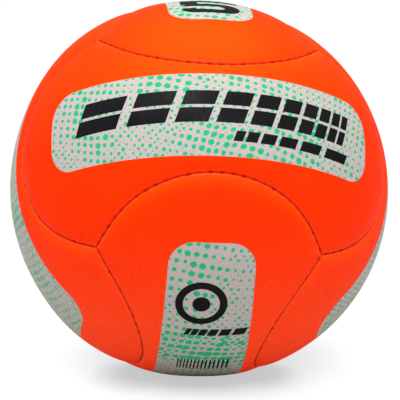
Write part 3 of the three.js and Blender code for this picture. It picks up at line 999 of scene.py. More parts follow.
@dataclass(frozen=True)
class CoverFinish(Finish):
    """Bright pebbled skin with a pale printed field, dots and black print.

    The skin also gives off a steady faint red emission of its own: painted light that keeps its red bright
    even in shade.
    """

    BLACK = (0.0, 0.0, 0.0, 1)
    # Each lattice's shift, its dots where they are thin and thick, in pitches, and their scatter
    LATTICES = ((0.0, 0.17, 0.33, 0.6), (0.5, 0.15, -0.04, 1.4))
    BEND_SPAN = 75.0
    FIGURE_MIDDLE = (-69.0, 0.0, 0.0)
    TARGET_MIDDLE = (-61.5, -4.0)
    TARGET_RADII = (14.5, 10.2, 5.0)

    pale: tuple[float, float, float] = (0.475, 0.42, 0.405)
    dot: tuple[float, float, float] = (0.022, 0.43, 0.19)
    ink: tuple[float, float, float] = (0.007, 0.007, 0.008)
    # A steady red emission: painted light.
    glow: tuple[float, float, float] = (0.3, 0.0, 0.0)
    # The colour of the seam's painted shade and dirt.
    soil: tuple[float, float, float] = (0.12, 0.012, 0.0)
    # The pale tint of the painted floor bounce low on the skin.
    sand: tuple[float, float, float] = (0.75, 0.74, 0.3)
    ink_shine: float = 0.14
    edge_shine: float = 0.2
    coat_roughness: float = 0.3
    grain_cell: float = 1.4
    grain_height: float = 0.03
    crease_depth: float = 0.11
    soil_depth: float = 0.95
    rubbed: tuple[float, float] = (-0.05, 0.06)

    def dress(self, layout: PrintLayout) -> bpy.types.Material:
        """Makes the material of one panel.

        Args:
            layout: The panel's print.

        Returns:
            The material.
        """
        made, graph, shader = self.begin()
        object_mm = millimetres(graph)
        panel = attribute(graph, "panel_mm").outputs["Vector"]
        x, y, inset = graph.separate(panel)
        place = graph.combine(x, y)
        grain = graph.group(PebbleGrain().tree(), Place=object_mm, Cell=self.grain_cell)
        field_mask = self.field(graph, place, layout)
        ink = self.motif(graph, place, layout)
        printed = graph.mix(self.dots(graph, place, layout), (*self.pale, 1), (*self.dot, 1))
        edge = graph.group(WornEdge().tree(), Inset=inset).outputs["Mask"]
        coat = graph.math("MULTIPLY", edge, self.edge_shine)
        if ink is not None:
            printed = graph.mix(ink, printed, (*self.ink, 1))
            coat = graph.math("MAXIMUM", coat, self.ink_coat(graph, place, ink, field_mask))
        graph.feed(shader.inputs["Coat Weight"], coat)
        shader.inputs["Coat Roughness"].default_value = self.coat_roughness
        pull = attribute(graph, "stitch_pull").outputs["Fac"]
        soil = graph.group(SeamSoil().tree(), Inset=inset, Pull=pull).outputs["Mask"]
        creased = graph.math("MULTIPLY", grain.outputs["Crease"], self.crease_depth)
        soiled = graph.math("MULTIPLY", soil, self.soil_depth)
        colour = graph.mix(field_mask, self.dyed(graph, object_mm), printed)
        # Painted shade: the colour darkens in the grain's creases.
        colour = graph.mix(creased, colour, self.BLACK)
        # Painted shade in the seam's groove and stitch holes, with some dirt at the cut edges.
        colour = graph.mix(soiled, colour, (*self.soil, 1))
        graph.feed(shader.inputs["Base Color"], colour)
        graph.feed(shader.inputs["Roughness"], self.dulled(graph, object_mm))
        # The painted red emission is left off on the pale field and where the seam is darkened.
        hidden = graph.math("MAXIMUM", field_mask, soil)
        graph.feed(shader.inputs["Emission Color"], graph.mix(hidden, (*self.glow, 1), self.BLACK))
        shader.inputs["Emission Strength"].default_value = 1.0
        roll = graph.group(EdgeRoll().tree(), Inset=inset).outputs["Height"]
        pebbles = graph.math("MULTIPLY", grain.outputs["Height"], self.grain_height)
        self.raised(graph, shader, graph.math("ADD", pebbles, roll), MM, 1.0)
        return made

    def dyed(self, graph: Graph, object_mm: Socket) -> Socket:
        """The orange of the skin, which varies a little from place to place, with the painted sheen and the
        painted floor bounce laid on it.
        """
        tone = graph.ramp(graph.noise(object_mm, 0.02, 3.0), 0.35, 0.65)
        facing = graph.node("TexCoord").outputs["Normal"]
        # Painted sheen and painted floor bounce for the orange.
        wear = graph.group(SunAndSand().tree(), Place=object_mm, Facing=facing)
        warm = graph.combine(1.0, wear.outputs["Warmth"], 1.0)
        orange = graph.mix(tone, (*self.colour, 1), (*self.second, 1))
        orange = graph.mix(1.0, orange, warm, "MULTIPLY")
        return graph.mix(wear.outputs["Dust"], orange, (*self.sand, 1))

    def ink_coat(self, graph: Graph, place: Socket, ink: Socket, field_mask: Socket) -> Socket:
        """The streaky shine of the black print."""
        inked = graph.math("MULTIPLY", ink, field_mask)
        streak = graph.group(InkStreak().tree(), Place=place).outputs["Mask"]
        return graph.math("MULTIPLY", graph.math("MULTIPLY", inked, streak), self.ink_shine)

    def dulled(self, graph: Graph, object_mm: Socket) -> Socket:
        """The skin's roughness, where handling has rubbed it more or less."""
        rub = graph.noise(object_mm, 0.12, 4.0)
        least, most = (self.roughness + change for change in self.rubbed)
        return graph.ramp(rub, 0.3, 0.7, least, most)

    def field(self, graph: Graph, place: Socket, layout: PrintLayout) -> Socket:
        """The mask of the pale field, which bends and tapers a little towards its ends."""
        x, y, _ = graph.separate(place)
        along = graph.math("MULTIPLY", x, 1 / self.BEND_SPAN)
        squared = graph.math("MULTIPLY", along, along)
        raised = graph.math("MULTIPLY", squared, layout.bend)
        bent = graph.combine(x, graph.math("SUBTRACT", y, raised))
        narrowed = graph.math("MULTIPLY", squared, layout.taper)
        half_width = graph.math("SUBTRACT", layout.half_width, narrowed)
        made = graph.group(
            RoundedField().tree(),
            Place=bent,
            Middle=(*layout.middle, 0.0),
            Half_Length=layout.half_length,
            Half_Width=half_width,
            Corner=layout.corner,
        )
        return made.outputs["Mask"]

    def dots(self, graph: Graph, place: Socket, layout: PrintLayout) -> Socket:
        """The mask of the dots: a lattice, and small ones between them where they are small."""
        mask = None
        for shift, thin, thick, scatter in self.LATTICES:
            made = graph.group(
                DotLattice().tree(),
                Place=place,
                Turn=layout.dots_turn,
                Pitch=layout.dots_pitch,
                Stretch=layout.dots_stretch,
                Shift=shift,
                Sway=layout.dots_sway,
                Thin=thin * layout.dots_pitch,
                Thick=thick * layout.dots_pitch,
                Scatter=scatter,
                Drift=layout.dots_drift,
                Cluster=layout.dots_cluster,
                Growth=layout.dots_growth,
                Seed=layout.seed,
            )
            found = made.outputs["Mask"]
            mask = found if mask is None else graph.math("MAXIMUM", mask, found)
        return mask

    def motif(self, graph: Graph, place: Socket, layout: PrintLayout) -> Socket | None:
        """The mask of the black print, or None where a panel has none."""
        if layout.motif is Motif.WIDE_BARS:
            return self.bars(graph, place)
        if layout.motif is Motif.TARGET:
            return self.target(graph, place)
        if layout.motif is Motif.SIZE_FIGURE:
            moved = graph.vector("SUBTRACT", place, self.FIGURE_MIDDLE)
            return self.figure(graph, graph.turned(moved, math.pi / 2))
        return None

    @staticmethod
    def bars(graph: Graph, place: Socket) -> Socket:
        """Two runs of bars: a tall one, and a low one under its thin end that grows the other way."""
        tall = graph.group(
            BarRun().tree(),
            Place=place,
            Start=-82.0,
            First_Pitch=33.0,
            Ratio=0.83,
            Count=10.0,
            Low=-5.2,
            High=14.0,
            Slot=0.9,
        )
        mirrored = graph.vector("MULTIPLY", place, (-1.0, 1.0, 1.0))
        low = graph.group(
            BarRun().tree(),
            Place=mirrored,
            Start=-87.0,
            First_Pitch=20.0,
            Ratio=0.8,
            Count=6.0,
            Low=-15.5,
            High=-9.5,
            Slant=-0.35,
        )
        return graph.math("MAXIMUM", tall.outputs["Mask"], low.outputs["Mask"])

    @staticmethod
    def rounded(
        graph: Graph, place: Socket, middle: tuple[float, float], half: tuple[float, float], corner: float
    ) -> Socket:
        """The mask of a box with round corners: its middle, half its sides, and its corners' radius."""
        made = graph.group(
            RoundedField().tree(),
            Place=place,
            Middle=(*middle, 0.0),
            Half_Length=half[0],
            Half_Width=half[1],
            Corner=corner,
        )
        return made.outputs["Mask"]

    def target(self, graph: Graph, place: Socket) -> Socket:
        """A ring round a spot, over a short row of bars and a row of fine ticks."""
        outer, inner, spot = (
            self.rounded(graph, place, self.TARGET_MIDDLE, (radius, radius), radius)
            for radius in self.TARGET_RADII
        )
        ring = graph.math("SUBTRACT", outer, inner)
        row = graph.group(
            BarRun().tree(),
            Place=graph.turned(place, math.pi / 2),
            Start=-20.0,
            First_Pitch=11.0,
            Ratio=0.82,
            Count=7.0,
            Low=-43.0,
            High=-37.5,
        )
        ticks = graph.group(
            BarRun().tree(),
            Place=graph.turned(place, math.pi / 2),
            Start=-16.0,
            First_Pitch=2.6,
            Ratio=0.97,
            Count=14.0,
            Low=-12.0,
            High=2.0,
            Slant=0.0,
            Fill=0.45,
        )
        rows = graph.math("MAXIMUM", row.outputs["Mask"], ticks.outputs["Mask"])
        return graph.math("MAXIMUM", graph.math("MAXIMUM", ring, spot), rows)

    def figure(self, graph: Graph, place: Socket) -> Socket:
        """A plain 5: a bowl that is open to the left, a stem and a bar."""
        bowl = self.rounded(graph, place, (0.0, -10.5), (16.8, 8.9), 8.4)
        hollow = self.rounded(graph, place, (-0.5, -10.5), (8.6, 2.9), 2.8)
        mouth = self.rounded(graph, place, (-13.0, -9.4), (6.0, 1.9), 0.5)
        stem = self.rounded(graph, place, (-11.8, 3.0), (4.9, 6.5), 0.8)
        bar = self.rounded(graph, place, (-0.2, 6.8), (16.4, 3.3), 0.8)
        open_bowl = graph.math("SUBTRACT", graph.math("SUBTRACT", bowl, hollow), mouth)
        mask = graph.math("MAXIMUM", open_bowl, 0.0)
        return graph.math("MAXIMUM", mask, graph.math("MAXIMUM", stem, bar))


@dataclass(frozen=True)
class ThreadFinish(Finish):
    """Waxed two-ply thread."""

    turns_along: float = 5.2
    turns_around: float = 2.0
    ply_depth: float = 0.12 * MM

    def dress(self) -> bpy.types.Material:
        """Makes the material."""
        made, graph, shader = self.begin()
        along, around, _ = graph.separate(attribute(graph, "thread_mm").outputs["Vector"])
        by_length = graph.math("MULTIPLY", along, self.turns_along)
        by_angle = graph.math("MULTIPLY", around, self.turns_around)
        ply = graph.math("ABSOLUTE", graph.math("SINE", graph.math("ADD", by_length, by_angle)))
        # Painted shade: the thread is darker in the grooves between its plies.
        graph.feed(shader.inputs["Base Color"], graph.mix(ply, (*self.second, 1), (*self.colour, 1)))
        self.raised(graph, shader, ply, self.ply_depth, 0.9)
        return made


@dataclass(frozen=True)
class FoamFinish(Finish):
    """Closed-cell foam."""

    cells_a_mm: float = 1.6
    cell_depth: float = 0.2 * MM

    def dress(self) -> bpy.types.Material:
        """Makes the material."""
        made, graph, shader = self.begin()
        cells = graph.node("TexVoronoi", feature="F1")
        graph.feed(cells.inputs["Vector"], millimetres(graph))
        cells.inputs["Scale"].default_value = self.cells_a_mm
        depth = graph.ramp(cells.outputs["Distance"], 0.1, 0.7)
        graph.feed(shader.inputs["Base Color"], graph.mix(depth, (*self.colour, 1), (*self.second, 1)))
        self.raised(graph, shader, cells.outputs["Distance"], self.cell_depth, 0.7)
        return made


@dataclass(frozen=True)
class ClothFinish(Finish):
    """Plain-woven cotton."""

    yarn: float = 0.7
    yarn_depth: float = 0.15 * MM

    def dress(self) -> bpy.types.Material:
        """Makes the material."""
        made, graph, shader = self.begin()
        place = attribute(graph, "panel_mm").outputs["Vector"]
        weave = graph.group(Weave().tree(), Place=place, Yarn=self.yarn)
        # Painted shade: the cloth is darker in the gaps between its yarns.
        colour = graph.mix(weave.outputs["Gap"], (*self.colour, 1), (*self.second, 1))
        graph.feed(shader.inputs["Base Color"], colour)
        self.raised(graph, shader, weave.outputs["Height"], self.yarn_depth, 0.8)
        return made


@dataclass(frozen=True)
class RubberFinish(Finish):
    """Moulded rubber with a trace of talc."""

    talc_dulls: float = 0.25
    unevenness: float = 0.05 * MM

    def dress(self) -> bpy.types.Material:
        """Makes the material."""
        made, graph, shader = self.begin()
        object_mm = millimetres(graph)
        talc = graph.ramp(graph.noise(object_mm, 0.16, 5.0, 0.65), 0.45, 0.8)
        graph.feed(shader.inputs["Base Color"], graph.mix(talc, (*self.colour, 1), (*self.second, 1)))
        duller = graph.math("MULTIPLY", talc, self.talc_dulls)
        graph.feed(shader.inputs["Roughness"], graph.math("ADD", duller, self.roughness))
        self.raised(graph, shader, graph.noise(object_mm, 1.8, 4.0), self.unevenness, 0.5)
        return made


# Meshes


def add_piece(name: str, points: Points, faces: Faces, material: bpy.types.Material) -> bpy.types.Object:
    """Makes a smooth-shaded object.

    Args:
        name: The piece's name.
        points: Its points in the row frame, one a row.
        faces: Its faces.
        material: Its only material.

    Returns:
        The object.
    """
    mesh = bpy.data.meshes.new(name)
    mesh.from_pydata(points.tolist(), [], faces)
    mesh.materials.append(material)
    mesh.polygons.foreach_set("use_smooth", np.ones(len(mesh.polygons), dtype=bool))
    mesh.update()
    made = bpy.data.objects.new(name, mesh)
    bpy.context.scene.collection.objects.link(made)
    return made


def write_vectors(piece: bpy.types.Object, name: str, values: Points) -> None:
    """Writes a vector for each point of a piece."""
    layer = piece.data.attributes.new(name, "FLOAT_VECTOR", "POINT")
    layer.data.foreach_set("vector", values.astype(np.float32).ravel())


def write_numbers(piece: bpy.types.Object, name: str, values: Points) -> None:
    """Writes a number for each point of a piece."""
    layer = piece.data.attributes.new(name, "FLOAT", "POINT")
    layer.data.foreach_set("value", values.astype(np.float32))


def points_of(piece: bpy.types.Object) -> Points:
    """A piece's points, one a row."""
    flat = np.zeros(len(piece.data.vertices) * 3, dtype=np.float32)
    piece.data.vertices.foreach_get("co", flat)
    return flat.reshape(-1, 3).astype(float)


def angles_in_panel(piece: bpy.types.Object, basis: np.ndarray) -> tuple[Points, Points]:
    """The longitude and the latitude of each of a piece's points, in its panel's frame."""
    local = points_of(piece) @ basis
    directions = local / np.linalg.norm(local, axis=1, keepdims=True)
    return np.arctan2(directions[:, 0], directions[:, 2]), np.arcsin(directions[:, 1])


def revolved(profile: Points, sides: int, closed: bool) -> tuple[Points, Faces]:
    """Turns a profile about z.

    Args:
        profile: Rows of radius and height, from the outside's top round to where it ends.
        sides: The steps once round.
        closed: True where the last point joins the first.

    Returns:
        The points and faces.
    """
    angles = np.arange(sides) * 2 * np.pi / sides
    wheel = np.stack([np.cos(angles), np.sin(angles)], axis=1)
    rings = [np.column_stack([radius * wheel, np.full(sides, height)]) for radius, height in profile]
    faces = []
    for low in range(len(profile) if closed else len(profile) - 1):
        high = (low + 1) % len(profile)
        for side in range(sides):
            after = (side + 1) % sides
            corners = ((low, side), (high, side), (high, after), (low, after))
            faces.append(tuple(ring * sides + column for ring, column in corners))
    if not closed:
        faces.append(tuple(range(sides)))
        faces.append(tuple((len(profile) - 1) * sides + side for side in reversed(range(sides))))
    return np.concatenate(rings), faces


def rounded_profile(corners: list[tuple[float, float]], radius: float, steps: int, closed: bool) -> Points:
    """A profile with its corners rounded.

    Args:
        corners: Rows of radius and height.
        radius: The most that a corner is rounded by.
        steps: The steps in each round.
        closed: True where the last point joins the first.

    Returns:
        The profile.
    """
    corners = np.array(corners)
    made = []
    for index, corner in enumerate(corners):
        before, after = corners[index - 1], corners[(index + 1) % len(corners)]
        if not closed and index in (0, len(corners) - 1):
            made.append(corner)
            continue
        back, on = before - corner, after - corner
        reach = min(radius, np.linalg.norm(back) * 0.45, np.linalg.norm(on) * 0.45)
        start = corner + back / np.linalg.norm(back) * reach
        end = corner + on / np.linalg.norm(on) * reach
        for step in range(steps + 1):
            t = step / steps
            made.append((1 - t) ** 2 * start + 2 * t * (1 - t) * corner + t**2 * end)
    return np.array(made)


# Sub-assemblies

VALVE_HOLE_RADIUS = 5.2 * MM
TURNED_SIDES = 72


@dataclass(frozen=True)
class Place:
    """One panel of the ball: the way it lies in the ball's own frame, and its print."""

    name: str
    length: tuple[int, int, int]
    width: tuple[int, int, int]
    across: tuple[str, str]
    layout: PrintLayout

    def basis(self, ball: BallSizes) -> np.ndarray:
        """The panel's frame in the row frame, as the columns of a 3 by 3 matrix."""
        outward = np.cross(self.length, self.width)
        return ball.attitude @ np.array([self.length, self.width, outward], dtype=float).T


FRONT_PRINT = PrintLayout(Motif.WIDE_BARS, 102.2, 24.8, (-0.5, 0.45), 0.55, seed=3.0)
BACK_PRINT = PrintLayout(half_length=102.2, seed=17.0)
TOP_PRINT = PrintLayout(Motif.SIZE_FIGURE, 98.0, seed=29.0, dots_pitch=5.0)
BOTTOM_PRINT = PrintLayout(
    Motif.TARGET,
    99.7,
    24.9,
    (0.0, 0.3),
    seed=41.0,
    dots_turn=0.08,
    dots_pitch=4.6,
    dots_stretch=1.2,
    dots_sway=10.0,
    dots_drift=0.022,
    dots_cluster=-24.0,
    dots_growth=1.0,
)
LEFT_PRINT = PrintLayout(half_length=99.7, half_width=27.5, middle=(0.0, 3.8), seed=57.0)
RIGHT_PRINT = PrintLayout(half_length=99.0, half_width=23.8, taper=1.0, corner=20.0, seed=71.0)

PLACES = (
    Place("front", (1, 0, 0), (0, 0, 1), ("top", "bottom"), FRONT_PRINT),
    Place("back", (-1, 0, 0), (0, 0, 1), ("top", "bottom"), BACK_PRINT),
    Place("top", (0, 1, 0), (-1, 0, 0), ("left", "right"), TOP_PRINT),
    Place("bottom", (0, 1, 0), (1, 0, 0), ("right", "left"), BOTTOM_PRINT),
    Place("left", (0, 0, 1), (0, 1, 0), ("back", "front"), LEFT_PRINT),
    Place("right", (0, 0, 1), (0, -1, 0), ("front", "back"), RIGHT_PRINT),
)


@dataclass
class Cover:
    """The six panels: skin, foam and lining, each a closed shell."""

    ball: BallSizes
    seam: SeamSizes
    outline: PanelOutline
    finish: CoverFinish
    foam_finish: FoamFinish
    lining_finish: ClothFinish
    fine: tuple[int, int] = (336, 320)
    coarse: tuple[int, int] = (84, 80)
    shoulder_steps: int = 7
    face_insets: tuple[float, ...] = tuple(inset * MM for inset in (1.65, 2.1, 2.8, 3.7, 4.8, 6.4))
    grid_inset: float = 8.4 * MM
    valve_hole_radius: float = VALVE_HOLE_RADIUS
    valve_dish: float = 0.5 * MM
    valve_dish_reach: float = 9.0 * MM

    def build(self) -> list[bpy.types.Object]:
        """Builds all eighteen shells and their finishes."""
        skin, foam, lining = self.skin_shell(), self.layer_shell(True), self.layer_shell(False)
        foam_material, lining_material = self.foam_finish.dress(), self.lining_finish.dress()
        made = []
        for place in PLACES:
            for kind, node, shell, material in (
                ("cover", "skin", skin, self.finish.dress(place.layout)),
                ("padding", "foam", foam, foam_material),
                ("backing", "lining", lining, lining_material),
            ):
                piece = self.shell_piece(f"{kind}_{place.name}", shell, place, material)
                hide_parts(f"{node}_{place.name}")
                if node == "lining":
                    self.declare_sheet(piece, place)
                made.append(piece)
        return made

    def declare_sheet(self, piece: bpy.types.Object, place: Place) -> None:
        """Works out the longitude and latitude of a backing's points in its panel's frame, and does nothing
        more with them.
        """
        longitude, latitude = angles_in_panel(piece, place.basis(self.ball))

    def skin_shell(self) -> ShellMesh:
        """The skin: a crowned face, round shoulders, edges turned in, and an inner face."""
        seam, shell = self.seam, ShellMesh()
        wall_top = seam.edge_drop + seam.shoulder_radius
        lip = seam.half_gap + self.ball.skin_wall
        wall_middle = 0.5 * (self.ball.cover_depth + wall_top)
        sections = [(seam.half_gap, self.ball.cover_depth), (seam.half_gap, wall_middle)]
        for step in range(self.shoulder_steps + 1):
            angle = step / self.shoulder_steps * math.pi / 2
            inset = seam.half_gap + seam.shoulder_radius * (1 - math.cos(angle))
            sections.append((inset, None))
        sections += [(inset, None) for inset in self.face_insets]
        rings = [self.add_ring(shell, inset, depth, self.fine) for inset, depth in sections]
        count = 2 * sum(self.fine)
        for lower, upper in zip(rings, rings[1:]):
            shell.band(upper, lower, count, count, False)
        grid_ring = self.add_ring(shell, self.grid_inset, None, self.coarse)
        shell.band(grid_ring, rings[-1], 2 * sum(self.coarse), count, False)
        self.add_grid(shell, self.grid_inset, 0.0, self.coarse, grid_ring, False)
        inner_low = self.add_ring(shell, lip, self.ball.cover_depth, self.coarse)
        inner_top = self.add_ring(shell, lip, seam.pillow(lip) + self.ball.skin_wall, self.coarse)
        few = 2 * sum(self.coarse)
        shell.band(inner_low, rings[0], few, count, True)
        shell.band(inner_top, inner_low, few, few, True)
        self.add_grid(shell, lip, self.ball.skin_wall, self.coarse, inner_top, True)
        return shell

    def layer_shell(self, is_foam: bool) -> ShellMesh:
        """The foam or the lining, cut to lie inside the skin's turned-in edge.

        Args:
            is_foam: True for the foam.

        Returns:
            The shell.
        """
        shell, ball = ShellMesh(), self.ball
        inset = self.seam.half_gap + ball.skin_wall + ball.clearance
        if is_foam:
            depth, thickness, drop = ball.foam_depth, ball.foam_thickness, self.seam.pillow(inset)
        else:
            depth, thickness, drop = ball.lining_depth, ball.lining_thickness, 0.0
        upper = self.add_ring(shell, inset, depth + drop, self.coarse)
        lower = self.add_ring(shell, inset, depth + thickness, self.coarse)
        shell.band(upper, lower, 2 * sum(self.coarse), 2 * sum(self.coarse), False)
        self.add_grid(shell, inset, depth, self.coarse, upper, False, is_foam)
        self.add_grid(shell, inset, depth + thickness, self.coarse, lower, True, False)
        return shell

    def add_ring(self, shell: ShellMesh, inset: float, depth: float | None, counts: tuple[int, int]) -> int:
        """Adds one ring of a shell.

        Args:
            shell: The shell.
            inset: The ring's distance from the seams.
            depth: How deep below the crown it lies, or None on the skin's outer face.
            counts: Its steps along a long side and along an end side.

        Returns:
            The index of its first point.
        """
        seam = self.seam
        beyond = inset - seam.half_gap
        opening = seam.hole_opening * math.exp(-beyond / seam.opening_reach) if counts == self.fine else 0.0
        if depth is not None and depth > self.ball.cover_depth * 0.9:
            opening = 0.0
        ring = self.outline.ring(inset, counts, opening, seam)
        pull = seam.pull(ring.share)
        if depth is None:
            dimple = seam.hole_dimple * pull * math.exp(-((beyond / seam.hole_reach) ** 2))
            depth = seam.pillow(np.array(inset)) + seam.shoulder(np.array(inset)) + dimple
        radius = np.broadcast_to(self.ball.crown_radius - depth, len(ring.share))
        return shell.add(ring.directions * radius[:, None], inset, pull)

    def add_grid(
        self,
        shell: ShellMesh,
        inset: float,
        depth: float,
        counts: tuple[int, int],
        ring: int,
        flipped: bool,
        pillowed: bool = True,
    ) -> None:
        """Adds the grid of a face inside its ring.

        Args:
            shell: The shell.
            inset: The ring's distance from the seams.
            depth: How deep the middle of the face lies below the crown.
            counts: The ring's steps along a long side and along an end side.
            ring: The ring's first point.
            flipped: True on the inner side of a shell.
            pillowed: True where the face falls towards its seams.
        """
        edge = self.outline.ring(inset, counts, 0.0, self.seam)
        directions = self.outline.inside(edge, counts).reshape(-1, 3)
        distance = self.outline.seam_distance(directions)
        fall = self.seam.pillow(distance) if pillowed else 0.0
        radius = np.broadcast_to(self.ball.crown_radius - depth - fall, len(directions))
        first = shell.add(directions * radius[:, None], distance, 0.0)
        shell.cap(first, ring, counts, flipped)

    def shell_piece(
        self, name: str, shell: ShellMesh, place: Place, material: bpy.types.Material
    ) -> bpy.types.Object:
        """Makes one panel's shell as an object in the row frame.

        Args:
            name: The piece's name.
            shell: The shell in the panel's frame.
            place: The panel.
            material: Its finish.

        Returns:
            The object.
        """
        local = np.concatenate(shell.points)
        inset = np.concatenate(shell.insets)
        pull = np.concatenate(shell.pulls)
        if place.name == "back":
            local = self.dished(local)
        basis = place.basis(self.ball)
        piece = add_piece(name, self.ball.settle(local @ basis.T), shell.faces, material)
        if place.name == "back":
            self.bore(piece, basis)
            inset, pull = self.carried(piece, self.ball.settle(local @ basis.T), inset, pull)
        longitude, latitude = angles_in_panel(piece, basis)
        scale = self.ball.crown_radius / MM
        laid_out = np.stack([longitude * scale, latitude * scale, inset / MM], axis=1)
        write_vectors(piece, "panel_mm", laid_out)
        write_numbers(piece, "stitch_pull", pull)
        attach(piece, "root")
        return piece

    def dished(self, local: Points) -> Points:
        """Sinks a panel a little round its middle, where the valve is."""
        radius = np.linalg.norm(local, axis=1, keepdims=True)
        away = np.linalg.norm(local[:, :2], axis=1, keepdims=True)
        dip = self.valve_dish * np.exp(-((away / self.valve_dish_reach) ** 2))
        return local * (1 - np.where(local[:, 2:] > 0, dip, 0.0) / radius)

    def bore(self, piece: bpy.types.Object, basis: np.ndarray) -> None:
        """Cuts the valve's hole through a shell of the back panel."""
        reach = 2 * self.ball.cover_depth
        crown = self.ball.crown_radius
        radius = self.valve_hole_radius
        profile = np.array([(radius, crown + reach), (radius, crown - reach)])
        points, faces = revolved(profile, TURNED_SIDES, closed=False)
        cutter = add_piece("bore_tool", points @ basis.T, faces, piece.data.materials[0])
        cut = piece.modifiers.new("valve_hole", "BOOLEAN")
        cut.operation = "DIFFERENCE"
        cut.solver = "EXACT"
        cut.object = cutter
        shaped = piece.evaluated_get(bpy.context.evaluated_depsgraph_get())
        piece.data = bpy.data.meshes.new_from_object(shaped)
        piece.modifiers.clear()
        bpy.data.objects.remove(cutter)

    @staticmethod
    def carried(piece: bpy.types.Object, old: Points, inset: Points, pull: Points) -> tuple[Points, Points]:
        """Carries the seam values over to a cut mesh, point by point.

        Args:
            piece: The cut piece.
            old: The points before the cut.
            inset: Their distances from the seam.
            pull: Their stitch pulls.

        Returns:
            The values for the cut piece's points.
        """
        tree = KDTree(len(old))
        for index, point in enumerate(old):
            tree.insert(point, index)
        tree.balance()
        nearest = np.array([tree.find(place)[1] for place in points_of(piece)])
        return inset[nearest], pull[nearest]


@dataclass
class Stitching:
    """The thread in each of the twelve seams. It shows between its holes and dips at each of them."""

    ball: BallSizes
    seam: SeamSizes
    line: SeamLine
    finish: ThreadFinish
    steps_a_stitch: int = 8
    sides: int = 8
    end_gap: float = 1.2 * MM

    def build(self) -> list[bpy.types.Object]:
        """Builds the twelve threads."""
        material = self.finish.dress()
        made = []
        for place in PLACES:
            for side, other in zip((1, -1), place.across):
                name = f"{place.name}_{other}"
                piece = self.thread_piece(f"stitches_{name}", place, side, material)
                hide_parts(f"thread_{name}")
                made.append(piece)
        return made

    def thread_piece(
        self, name: str, place: Place, side: int, material: bpy.types.Material
    ) -> bpy.types.Object:
        """Makes the thread of one long seam of a panel.

        Args:
            name: The piece's name.
            place: The panel.
            side: 1 for its upper seam, -1 for its lower one.
            material: The thread's finish.

        Returns:
            The object.
        """
        count = self.seam.stitches * self.steps_a_stitch + 1
        trim = self.end_gap / (self.line.length * self.ball.crown_radius)
        share = np.linspace(trim, 1 - trim, count)
        run = self.line.run_at(share)
        depth = self.seam.thread_depth + self.seam.thread_dip * self.seam.pull(share)
        outward = self.line.offset(run, 0.0)
        path = outward * (self.ball.crown_radius - depth)[:, None]
        tangent = np.gradient(path, axis=0)
        tangent /= np.linalg.norm(tangent, axis=1, keepdims=True)
        sideways = np.cross(outward, tangent)
        sideways /= np.linalg.norm(sideways, axis=1, keepdims=True)
        upward = np.cross(tangent, sideways)
        angles = np.arange(self.sides) * 2 * np.pi / self.sides
        rings = (
            path[:, None]
            + self.seam.thread_radius * np.cos(angles)[None, :, None] * sideways[:, None]
            + self.seam.thread_radius * np.sin(angles)[None, :, None] * upward[:, None]
        ).reshape(-1, 3)
        turn = np.array([1.0, 1.0, 1.0]) if side > 0 else np.array([-1.0, -1.0, 1.0])
        points = self.ball.settle((rings * turn) @ place.basis(self.ball).T)
        piece = add_piece(name, points, self.tube_faces(count), material)
        along = np.repeat(share * self.line.length * self.ball.crown_radius / MM, self.sides)
        around = np.tile(angles, count)
        write_vectors(piece, "thread_mm", np.stack([along, around, np.zeros_like(along)], axis=1))
        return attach(piece, "root")

    def tube_faces(self, count: int) -> Faces:
        """The faces of a closed tube of this many rings."""
        sides = self.sides
        faces = []
        for ring in range(count - 1):
            for side in range(sides):
                after = (side + 1) % sides
                near, far = ring * sides, (ring + 1) * sides
                faces.append((near + side, near + after, far + after, far + side))
        faces.append(tuple(reversed(range(sides))))
        faces.append(tuple((count - 1) * sides + side for side in range(sides)))
        return faces


